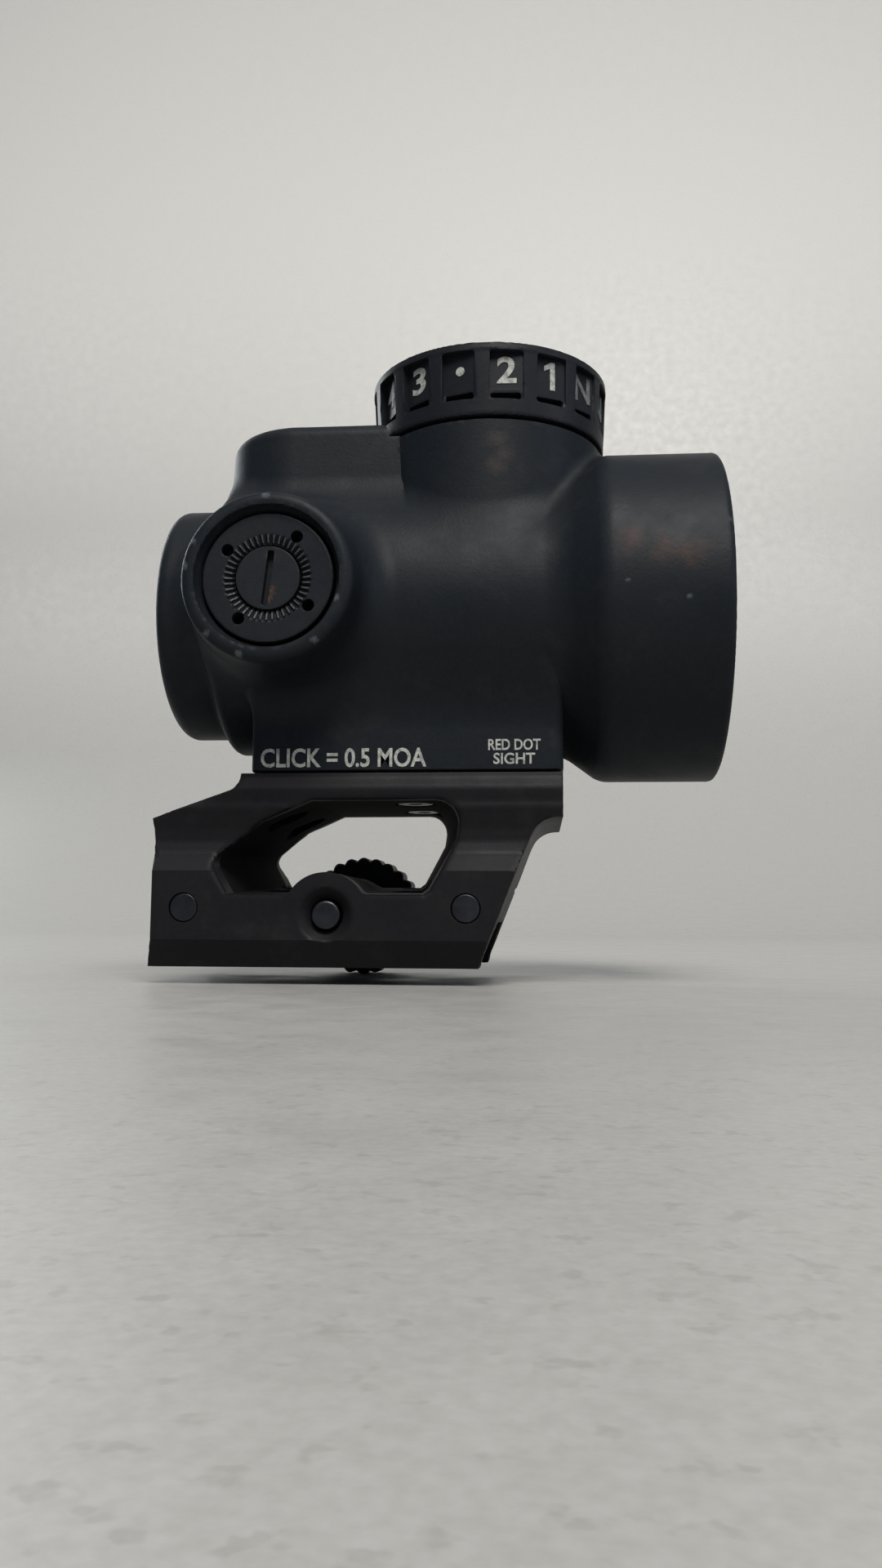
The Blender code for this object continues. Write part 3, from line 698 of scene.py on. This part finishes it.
def housing_field(x, y, z):
    z = z - AXIS_Z
    radial = np.hypot(y, z)
    tube = np.minimum(tube_and_bell(x, radial), foot_form(x, y, z, radial))
    off_dial = np.hypot(x - DIAL_X, y)
    turret = rounded_meet(off_dial - TURRET_R, between(z, 5.0, DECK_Z - AXIS_Z), 0.35)
    shell = np.minimum(rounded_join(tube, turret, 1.6),
                       rounded_join(tube, adjuster_tower(x, y, z), 2.4))
    across, height = np.hypot(x - ADJUSTER_X, z), -y
    windage = rounded_meet(across - (ADJUSTER_RIM_R + 0.12 * (ADJUSTER_TOP - height)),
                           height - ADJUSTER_TOP, 0.9)
    shell = rounded_join(shell, np.maximum(windage, 4.0 - height), 3.4)
    shell = rounded_meet(shell, (FOOT_Z - AXIS_Z) - z, 0.3)
    shell = np.maximum(shell, -np.maximum(recoil_key(x, y, 3.3), z - (18.5 - AXIS_Z)))

    swing = np.maximum(off_dial - (DIAL_R + 0.3), (DECK_Z - AXIS_Z) - z)
    shell = rounded_cut(shell, swing, 0.25)
    chamber = np.minimum(np.maximum(off_dial - 10.0, 14.7 - z),
                         np.maximum(off_dial - 11.6, 18.7 - z))
    shell = np.maximum(shell, -chamber)
    hood = np.maximum(radial - 17.3, 20.4 - x)
    shell = rounded_cut(shell, hood, 0.35)
    rear = np.maximum(radial - 12.6, x + 28.0)
    shell = rounded_cut(shell, rear, 0.5)
    bore = np.maximum(radial - 13.6, between(x, -25.6, 15.8))
    bore = np.minimum(bore, np.maximum(radial - 15.2, between(x, 15.8, 20.6)))
    bore = np.minimum(bore, np.maximum(radial - 10.6, between(x, -28.2, -25.4)))
    shell = np.maximum(shell, -bore)
    shell = rounded_cut(shell, adjuster_bore(across, height), 0.3)
    above = np.hypot(x - ADJUSTER_X, y)
    return rounded_cut(shell, adjuster_bore(above, z), 0.3)


def make_housing(looks):
    housing = solid("housing_shell", housing_field, HOUSING_LOW, HOUSING_HIGH, 0.33)
    finish(housing, "root", "housing_anodised", looks["housing"], "housing")


# ---------------------------------------------------------------- riser and jaw
def riser_side(x, z):
    """Side outline of the riser."""
    bottom = RISER_LOW[2]
    points = ([(-22.6, RISER_TOP)] + arc(-24.5, 16.75, 1.9, -5, -65, 6)
              + [(-32.75, 11.85), (SEAT_REAR_X, 5.8), (SEAT_REAR_X, CHAMFER_Z),
                 (-33.1, bottom),
                 (4.9, bottom), (5.3, -4.0), (10.7, 9.6)]
              + arc(13.9, 8.6, 3.3, 150, 92, 7) + [(14.4, 11.9), (14.4, RISER_TOP)])
    return outline_field(x, z, points)


def riser_section(y, z):
    """Cross-section of the riser: two shallow scoops down each side, a dovetail under the seat."""
    wall = [(12.2, RISER_TOP), (12.65, 16.4), (13.05, 15.0), (12.85, 13.7), (12.95, 12.9),
            (12.75, 12.3), (12.3, 10.6), (12.25, 9.2), (12.6, 7.9), (RISER_HALF_Y, 5.76)]
    near = [(-a, b) for a, b in wall]
    groove = [(-RISER_HALF_Y, CHAMFER_Z), (-11.9, RISER_LOW[2]), (-9.0, RISER_LOW[2]),
              (-RAIL_HALF_Y, RAIL_EDGE_LOW), (-RAIL_HALF_Y, RAIL_EDGE_HIGH), (-8.1, 0.0)]
    far = [(SEAT_EDGE_Y, 0.0), (SEAT_EDGE_Y, 4.4), (RISER_HALF_Y, 4.4)]
    return outline_field(y, z, near + groove + far + wall[::-1])


def window_field(x, y, z):
    """Window through the riser, which narrows from the near side to the far one."""
    depth = (y + 14.0) / 27.0
    across = (1 + 0.25 * depth) * x + 3.85 * depth
    height = (1 + 0.15 * depth) * z - 2.2 * depth
    points = ([(-23.5, 3.1), (-1.2, 3.1), (-0.5, 3.6), (2.75, 9.3)]
              + arc(0.25, 11.15, 2.75, -15, 90, 7)
              + [(-14.2, 13.85), (-20.2, 11.35)] + arc(-23.7, 6.6, 1.6, 130, 205, 6))
    return outline_field(across, height, points) * 0.8


def bolt_hole(off_bolt, y):
    """Bore of the cross-bolt with a wide countersink at its near end."""
    sink = off_bolt - np.clip(-y - 11.0, 1.85, 3.1)
    front = np.maximum(np.maximum(sink, off_bolt - 3.1), y + 9.7)
    return np.minimum(front, np.maximum(off_bolt - BOLT_BORE_R, -9.8 - y))


def riser_field(x, y, z):
    block = rounded_meet(riser_side(x, z), riser_section(y, z), 0.3)
    key = np.maximum(recoil_key(x, y, 3.0), z - RISER_HIGH[2])
    block = np.minimum(block, np.maximum(key, RISER_TOP - 1.0 - z))
    block = rounded_cut(block, window_field(x, y, z), 0.4)
    off_bolt = np.hypot(x - BOLT_X, z - BOLT_Z)
    boss = np.maximum(off_bolt - BOSS_R, between(y, -RISER_HALF_Y, SEAT_EDGE_Y))
    boss = np.maximum(boss, 0.4 - z)
    block = rounded_join(block, boss, 0.4)
    block = np.maximum(block, between(y, -RISER_HALF_Y, RISER_HALF_Y))
    block = rounded_cut(block, bolt_hole(off_bolt, y), 0.2)
    for pin_x in PIN_XS:
        off_pin = np.hypot(x - pin_x, z - PIN_Z)
        pin = np.minimum(np.maximum(off_pin - 1.68, y + 10.2), off_pin - PIN_BORE_R)
        block = rounded_cut(block, pin, 0.05)
    for screw in ("base_screw_1", "base_screw_2", "base_screw_3", "base_screw_4"):
        screw_x, screw_y, _ = middle(screw)
        off_screw = np.hypot(x - screw_x, y - screw_y)
        access = np.maximum(off_screw - 2.7, between(z, -2.0, 5.0))
        seat = np.maximum(off_screw - 2.4, between(z, 9.0, 15.6))
        block = rounded_cut(block, np.minimum(access, seat), 0.2)
    return block


def make_riser(looks):
    riser = solid("riser_body", riser_field, RISER_LOW, RISER_HIGH, 0.35)
    finish(riser, "root", "mount_anodised", looks["mount"], "riser_mount")


def jaw_field(x, y, z):
    bottom = RISER_LOW[2]
    section = outline_field(y, z, [
        (9.2, 4.1), (9.2, -1.0), (RAIL_HALF_Y, RAIL_EDGE_HIGH), (RAIL_HALF_Y, RAIL_EDGE_LOW),
        (9.0, bottom), (11.9, bottom), (RISER_HALF_Y, CHAMFER_Z), (RISER_HALF_Y, 3.3), (13.3, 4.1)])
    side = outline_field(x, z, [(SEAT_REAR_X, -6.0), (4.9, -6.0), (5.3, -4.0), (8.5, 4.1),
                                (8.5, 6.0), (SEAT_REAR_X, 6.0)])
    jaw = rounded_meet(section, side, 0.3)
    off_bolt = np.hypot(x - BOLT_X, z - BOLT_Z)
    jaw = rounded_cut(jaw, off_bolt - BOLT_BORE_R, 0.2)
    for pin_x in PIN_XS:
        off_pin = np.hypot(x - pin_x, z - PIN_Z)
        bore = np.minimum(off_pin - PIN_BORE_R, np.maximum(off_pin - 2.2, y - 12.0))
        jaw = rounded_cut(jaw, bore, 0.15)
    detent = np.hypot(x - middle("wheel_detent_ball")[0], z - BOLT_Z)
    return rounded_cut(jaw, np.maximum(detent - 1.0, 10.4 - y), 0.12)


def wheel_field(x, y, z):
    """Click wheel about local +Z, heights along +Y of the frame."""
    radius, turn = np.hypot(x, y), np.arctan2(y, x)
    scallop = 0.55 * (1 - np.abs(np.sin(13 * turn)) ** 0.8)
    rim = (radius - (WHEEL_R - scallop)) * 0.8
    wheel = rounded_meet(rim, between(z, WHEEL_LOW[1], WHEEL_HIGH[1]), 0.45)
    dish = np.maximum(radius - 4.5, 18.1 - z)
    wheel = rounded_cut(wheel, dish, 0.3)
    groove = np.maximum(between(radius, 5.2, 5.8), 19.75 - z)
    wheel = rounded_cut(wheel, groove, 0.1)
    return rounded_cut(wheel, radius - BOLT_BORE_R, 0.2)


def make_clamp(looks):
    jaw_low, jaw_high = span("clamp_jaw")
    jaw = solid("jaw_body", jaw_field, jaw_low, jaw_high, 0.35)
    finish(jaw, "clamp_jaw", "mount_anodised", looks["mount"], "clamp_jaw")
    on_bolt = facing("+Y", BOLT_X, 0, BOLT_Z)
    reach = WHEEL_R + 0.2
    wheel = solid("wheel_knob", wheel_field, (-reach, -reach, WHEEL_LOW[1]),
                  (reach, reach, WHEEL_HIGH[1]), 0.22, on_bolt)
    finish(wheel, "clamp_screw", "mount_anodised", looks["mount"], "click_wheel")

    bolt_profile = soft_corner([(0, -13.7), (1.65, -13.7), (1.65, -9.5), (2.35, -9.5), (2.35, 18.4),
                                (4.2, 18.4), (4.2, 19.8), (0, 19.8)], 0.35)
    bolt = lathe("clamp_bolt", bolt_profile, on_bolt, 64)
    socket_profile = soft_corner([(0, 19.83), (1.9, 19.83), (1.9, 19.86), (0, 19.86)], 0.02)
    socket = lathe("clamp_bolt_socket", socket_profile, on_bolt, 6)
    finish(bolt, "clamp_screw", "black_steel", looks["steel"], "cross_bolt")
    finish(socket, "clamp_screw", "black_steel", looks["steel"])
    for name, pin_x in zip(("guide_pin_rear", "guide_pin_front"), PIN_XS):
        pin = lathe(name + "_dowel", soft_corner([(0, -14.0), (1.64, -14.0), (1.64, -10.5),
                                                  (1.0, -10.5), (1.0, 13.4), (0, 13.4)], 0.25),
                    facing("+Y", pin_x, 0, PIN_Z), 48)
        finish(pin, "root", "black_steel", looks["steel"], name)


# ---------------------------------------------------------------- adjusters
def ring_field(x, y, z):
    """Retaining ring of an adjuster: four spanner holes and a serrated scale round the dial."""
    radius, turn = np.hypot(x, y), np.arctan2(y, x)
    ring = rounded_meet(radius - RING_R, between(z, RING_BASE, RING_TOP), 0.2)
    ring = rounded_cut(ring, radius - 3.72, 0.05)
    for k in range(4):
        angle = math.radians(55.0 + 90.0 * k)
        hole = np.hypot(x - 5.5 * math.cos(angle), y - 5.5 * math.sin(angle)) - 0.68
        ring = rounded_cut(ring, hole, 0.08)
    slope = np.maximum(radius - SCALE_OUT_R,
                       (RING_TOP - SCALE_DROP) - z + (radius - SCALE_IN_R) * SCALE_SLOPE)
    teeth = 0.16 * np.cos(SERRATIONS * turn)
    return np.maximum(ring, -(slope + np.where(radius < SCALE_OUT_R, teeth, 0.0)) * 0.8)


def slotted_dial_field(x, y, z):
    radius = np.hypot(x, y)
    dial = rounded_meet(radius - 3.55, between(z, SLOT_BASE, SLOT_TOP), 0.12)
    lean = math.radians(-6.5)
    u = x * math.cos(lean) + y * math.sin(lean)
    v = -x * math.sin(lean) + y * math.cos(lean)
    slot = np.maximum(rounded_meet(np.abs(u) - 0.38, np.abs(v) - 3.1, 0.3), (SLOT_TOP - 0.95) - z)
    return rounded_cut(dial, slot, 0.06)


def scale_marks(name, matrix):
    """Light flats along the crests of a retaining ring's serrations."""
    bm = bmesh.new()
    for k in range(SERRATIONS):
        turn = Matrix.Rotation(2 * math.pi * k / SERRATIONS, 4, "Z")
        corners = []
        for radius in (3.95, 4.75):
            height = RING_TOP - SCALE_DROP + (radius - SCALE_IN_R) * SCALE_SLOPE + 0.17
            corners += [(radius, side, height) for side in (-0.07, 0.07)]
        top = [bm.verts.new(matrix @ turn @ (Vector(corner) * MM)) for corner in corners]
        low = [bm.verts.new(matrix @ turn @ ((Vector(corner) - Vector((0, 0, 0.12))) * MM))
               for corner in corners]
        ring = (0, 2, 3, 1)
        bm.faces.new([top[i] for i in ring])
        bm.faces.new([low[i] for i in ring[::-1]])
        for i, j in zip(ring, ring[1:] + ring[:1]):
            bm.faces.new((low[i], low[j], top[j], top[i]))
    return from_bmesh(name, bm)


def make_adjusters(looks):
    ring_data = contour(ring_field, (-RING_R, -RING_R, RING_BASE), (RING_R, RING_R, RING_TOP), 0.13)
    dial_data = contour(slotted_dial_field, (-3.6, -3.6, SLOT_BASE), (3.6, 3.6, SLOT_TOP), 0.11)
    for name, axis in (("windage", "-Y"), ("elevation", "+Z")):
        place = facing(axis, ADJUSTER_X, 0, AXIS_Z)
        ring = mesh_object(name + "_lock_ring", *ring_data, place)
        smooth(ring)
        finish(ring, "root", "fitting_anodised", looks["fitting"], name + "_retaining_ring")
        marks = scale_marks(name + "_scale_marks", place)
        finish(marks, "root", "fitting_anodised", looks["scale"])
        dial = mesh_object(name + "_screw_head", *dial_data, place)
        smooth(dial)
        finish(dial, name + "_dial", "fitting_anodised", looks["screw_head"], name + "_dial")


# ---------------------------------------------------------------- brightness dial
def dial_field(x, y, z):
    """Brightness dial about local +Z: a thin flange over pockets with sloping number pads."""
    radius, turn = np.hypot(x, y), np.arctan2(y, x) - DIAL_PHASE
    flange = rounded_meet(radius - DIAL_R, between(z, POCKET_HIGH_Z, FLANGE_TOP), 0.16)
    skirt = DIAL_R - 0.3 - 0.05 * (POCKET_LOW_Z - z)
    rim = rounded_meet(radius - skirt, between(z, DIAL_BASE_Z, FLANGE_TOP - 0.3), 0.3)
    rim = rounded_join(rim, flange, 0.12)
    pitch = 2 * math.pi / DIAL_STEPS
    off = np.mod(turn, pitch) - pitch / 2
    out, side = radius * np.cos(off), radius * np.sin(off)
    pocket = rounded_meet(np.abs(side) - 2.0, between(z, POCKET_LOW_Z, POCKET_HIGH_Z), 0.35)
    pad = out - (DIAL_R - 0.85 + PAD_SLOPE * side)
    dial = rounded_cut(rim, np.maximum(pocket, -pad), 0.14)
    gap = rounded_meet(np.abs(side) - 1.75, between(z, POCKET_LOW_Z, POCKET_LOW_Z + 0.85), 0.3)
    dial = rounded_cut(dial, np.maximum(gap, (DIAL_R - 2.6) - out), 0.1)
    well = np.maximum(radius - 11.3, 63.3 - z)
    dial = rounded_cut(dial, well, 0.3)
    cell = np.maximum(radius - 10.4, (DIAL_BASE_Z + 1.1) - z)
    dial = np.maximum(dial, -cell)
    spigot = np.maximum(radius - 8.0, between(z, SPIGOT_BASE_Z, DIAL_BASE_Z + 0.4))
    return np.minimum(dial, spigot)


def text_mesh(name, body, size, depth, stretch=1.0, weight=0.012):
    """Flat lettering as a mesh, centred on the origin in local XY, facing +Z."""
    curve = bpy.data.curves.new(name, "FONT")
    curve.body = body
    curve.size = size * MM
    curve.extrude = depth * MM / 2
    curve.align_x = "CENTER"
    curve.resolution_u = 4
    curve.offset = weight * size * MM
    text = linked(name, curve)
    bpy.context.view_layer.update()
    evaluated = text.evaluated_get(bpy.context.evaluated_depsgraph_get())
    mesh = bpy.data.meshes.new_from_object(evaluated)
    bpy.data.objects.remove(text, do_unlink=True)
    bpy.data.curves.remove(curve)
    heights = [vertex.co.y for vertex in mesh.vertices]
    mesh.transform(Matrix.Translation((0, -(min(heights) + max(heights)) / 2, 0)))
    mesh.transform(Matrix.Diagonal((stretch, 1, 1, 1)))
    mesh.name = name
    return linked(name, mesh)


def plate_mesh(name, outline, depth):
    """Flat plate from one outline in local XY (mm), facing +Z."""
    bm = bmesh.new()
    top = [bm.verts.new((x * MM, y * MM, depth * MM / 2)) for x, y in outline]
    low = [bm.verts.new((x * MM, y * MM, -depth * MM / 2)) for x, y in outline]
    bm.faces.new(top)
    bm.faces.new(low[::-1])
    for k in range(len(outline)):
        n = (k + 1) % len(outline)
        bm.faces.new((low[k], low[n], top[n], top[k]))
    return from_bmesh(name, bm)


def make_dial(looks):
    reach = DIAL_R + 0.1
    dial = solid("brightness_knob", dial_field, (-reach, -reach, SPIGOT_BASE_Z),
                 (reach, reach, FLANGE_TOP), 0.24, facing("+Z", DIAL_X, 0, 0))
    finish(dial, "brightness_dial", "fitting_anodised", looks["fitting"], "brightness_dial")
    one = [(0.0, -1.7), (0.62, -1.7), (0.62, 1.7), (0.12, 1.7), (-0.75, 1.15), (-0.75, 0.55),
           (0.0, 0.95)]
    dot = arc(0, 0, 0.55, 0, 345, 23)
    stretch = {"3": 1.25, "N": 0.95}
    marks = (("5", -4), ("4", -3), ("3", -2), (None, -1), ("2", 0), ("1", 1), ("N", 2), ("N", 3))
    for mark, step in marks:
        name = f"dial_mark_{step + 5}"
        if mark is None:
            text = plate_mesh(name, dot, 0.12)
        elif mark == "1":
            text = plate_mesh(name, one, 0.12)
        else:
            text = text_mesh(name, mark, 4.4, 0.12, stretch.get(mark, 1.08), 0.025)
        angle = DIAL_PHASE + 2 * math.pi * (step + 0.5) / DIAL_STEPS
        tilt = Matrix.Rotation(-math.atan(PAD_SLOPE), 4, "Z")
        place = (Matrix.Translation(Vector((DIAL_X, 0, AXIS_Z + 26.75)) * MM)
                 @ Matrix.Rotation(angle, 4, "Z")
                 @ Matrix.Translation(Vector((0.1, -(DIAL_R - 0.83), 0)) * MM)
                 @ tilt @ Matrix.Rotation(math.pi / 2, 4, "X"))
        text.data.transform(place)
        finish(text, "brightness_dial", "fitting_anodised",
               looks["faded" if mark == "N" else "paint"])


def cap_field(x, y, z):
    radius = np.hypot(x, y)
    cap = rounded_meet(radius - CAP_R, between(z, CAP_BASE_Z, CAP_TOP_Z), 0.3)
    groove = np.maximum(9.7 - radius, between(z, 64.2, 65.5))
    cap = np.maximum(cap, -groove)
    slot = np.maximum(rounded_meet(np.abs(y) - 0.95, radius - 7.6, 0.3), 65.4 - z)
    cap = rounded_cut(cap, slot, 0.18)
    ring = np.maximum(between(radius, 8.6, 9.0), 66.45 - z)
    return rounded_cut(cap, ring, 0.06)


def make_cap(looks):
    cap = solid("battery_cap_disc", cap_field, (-11, -11, CAP_BASE_Z), (11, 11, CAP_TOP_Z), 0.22,
                facing("+Z", DIAL_X, 0, 0))
    finish(cap, "battery_cap", "fitting_anodised", looks["fitting"], "battery_cap")


# ---------------------------------------------------------------- optics
def make_optics(looks):
    forward = facing("+X", 0, 0, AXIS_Z)
    lens_r = (span("objective_lens")[1] - span("objective_lens")[0])[2] / 2
    rear = [(lens_r * k / 12, 20.6 + 1.3 * (k / 12) ** 2) for k in range(13)]
    front = [(lens_r * k / 12, 24.0 + 1.5 * (1 - (k / 12) ** 2)) for k in range(12, -1, -1)]
    objective = lathe("objective_glass", rear + front, forward, 96)
    finish(objective, "root", "coated_glass", looks["glass"], "objective_lens")
    ocular = lathe("ocular_glass", [(0, -29.75), (6.0, -29.7), (12.0, -29.6), (12.0, -28.4),
                                    (0, -28.4)], forward, 96)
    finish(ocular, "root", "coated_glass", looks["glass"], "ocular_lens")
    ring = soft_corner([(13.2, 26.1), (16.9, 26.1), (16.9, 28.6), (14.9, 28.6)], 0.2, closed=True)
    retainer = lathe("objective_lock_ring", ring, forward, LOCK_RING_SEGMENTS, closed=True)
    finish(retainer, "root", "fitting_anodised", looks["fitting"], "objective_retaining_ring")
    ring = soft_corner([(10.9, -32.0), (12.3, -32.0), (12.3, -30.9), (10.6, -30.9)], 0.15,
                       closed=True)
    retainer = lathe("ocular_lock_ring", ring, forward, LOCK_RING_SEGMENTS, closed=True)
    finish(retainer, "root", "fitting_anodised", looks["fitting"], "ocular_retaining_ring")


# ---------------------------------------------------------------- legend on the foot
def make_legend(looks):
    for name, body, x, z, size, stretch in (
            ("legend_click", "CLICK = 0.5 MOA", -10.8, 18.8, 3.0, 0.83),
            ("legend_upper", "RED DOT", 8.9, 20.2, 1.75, 0.80),
            ("legend_lower", "SIGHT", 8.9, 18.6, 1.75, 0.98)):
        text = text_mesh(name, body, size, 0.1, stretch, 0.02)
        text.data.transform(facing("-Y", x, -FOOT_HALF_Y, z))
        finish(text, "root", "housing_anodised", looks["paint"])


# ---------------------------------------------------------------- CAD nodes that stay
def dress_frame(looks):
    kinds = {"black_steel": "steel", "cell_steel": "cell", "spring_brass": "brass",
             "seal_rubber": "rubber", "coated_glass": "glass", "circuit_board": "board",
             "fitting_anodised": "fitting", "mount_anodised": "mount",
             "housing_anodised": "housing"}
    slots = {part["node"]: part["material_slot"] for part in frame["record"]["subparts"]}
    for node, obj in frame["nodes"].items():
        obj.data.materials.clear()
        obj.data.materials.append(looks[kinds[slots[node]]])


# ---------------------------------------------------------------- stage, light and camera
def make_stage():
    mat, n, shader = new_material("pale_counter")
    speck = n.spread(n.noise(1100.0, 2.0, 0.6), 0.60, 0.68)
    stone = n.mix(n.spread(n.noise(2500.0, 2.0), 0.3, 0.7), (0.33, 0.322, 0.30),
                  (0.37, 0.362, 0.34))
    n.link(n.mix(n.math("MULTIPLY", speck, 0.35), stone, (0.24, 0.225, 0.205)),
           shader.inputs["Base Color"])
    n.link(n.spread(n.noise(200.0), 0.3, 0.7, 0.35, 0.5), shader.inputs["Roughness"])
    floor_z = cad_box[0][2]
    outline = [(-1.2, floor_z)] + [(0.30 + 0.25 * math.sin(a), floor_z + 0.25 - 0.25 * math.cos(a))
                                   for a in np.linspace(0, math.pi / 2, 24)] + [(0.55, 1.6)]
    bm = bmesh.new()
    rows = [[bm.verts.new((x, y, z)) for y, z in outline] for x in (-1.6, 1.6)]
    for k in range(len(outline) - 1):
        bm.faces.new((rows[0][k], rows[0][k + 1], rows[1][k + 1], rows[1][k]))
    bmesh.ops.recalc_face_normals(bm, faces=bm.faces)
    sweep = from_bmesh("studio_sweep", bm)
    sweep.data.shade_smooth()
    sweep.data.materials.append(mat)


def make_light(name, place, target, size, power, colour):
    lamp = bpy.data.lights.new(name, "AREA")
    lamp.shape = "RECTANGLE"
    lamp.size, lamp.size_y = size
    lamp.energy = power
    lamp.color = colour
    obj = linked(name, lamp)
    direction = Vector(target) - Vector(place)
    obj.location = place
    obj.rotation_euler = direction.to_track_quat("-Z", "Y").to_euler()


def make_lighting():
    world = bpy.data.worlds.new("studio")
    world.use_nodes = True
    background = world.node_tree.nodes["Background"]
    background.inputs["Color"].default_value = (0.50, 0.68, 0.95, 1.0)
    background.inputs["Strength"].default_value = 0.22
    bpy.context.scene.world = world
    centre = (0.0, 0.0, 0.03)
    make_light("key", (0.10, -0.45, 0.60), centre, (0.34, 0.34), 6.2, (1.0, 0.97, 0.93))
    make_light("fill", (0.72, -0.30, 0.30), centre, (0.4, 0.4), 1.0, (0.82, 0.90, 1.0))
    make_light("rear", (-0.55, 0.50, 0.35), (-0.55, -0.5, 0.35), (0.35, 0.35), 2.6,
               (0.90, 0.95, 1.0))
    make_light("back", (0.0, 0.10, 0.58), (0.0, 0.55, 0.45), (1.4, 0.3), 5.2, (1.0, 0.99, 0.97))


def make_camera():
    """Camera at the angle and distance that the fitted perspective gave."""
    focal_ratio = 0.75156          # focal length over the frame's long side
    camera = bpy.data.cameras.new("camera")
    camera.sensor_width = SENSOR_MM
    camera.lens = SENSOR_MM * focal_ratio
    camera.clip_start = 0.01
    obj = linked("camera", camera)
    right = Vector((0.99659, 0.08237, 0.00486))
    up = Vector((0.00439, -0.11170, 0.99373))
    back = Vector((0.08239, -0.99032, -0.11168))
    turn = Matrix((right, up, back)).transposed().to_4x4()
    place = Vector((11.647, -144.963, AXIS_Z - 36.590)) * MM
    obj.matrix_world = Matrix.Translation(place) @ turn
    bpy.context.scene.camera = obj


def main():
    looks = make_materials()
    dress_frame(looks)
    make_housing(looks)
    make_riser(looks)
    make_clamp(looks)
    make_adjusters(looks)
    make_dial(looks)
    make_cap(looks)
    make_optics(looks)
    make_legend(looks)
    make_stage()
    make_lighting()
    make_camera()
    bpy.context.scene.view_settings.view_transform = "Standard"


main()
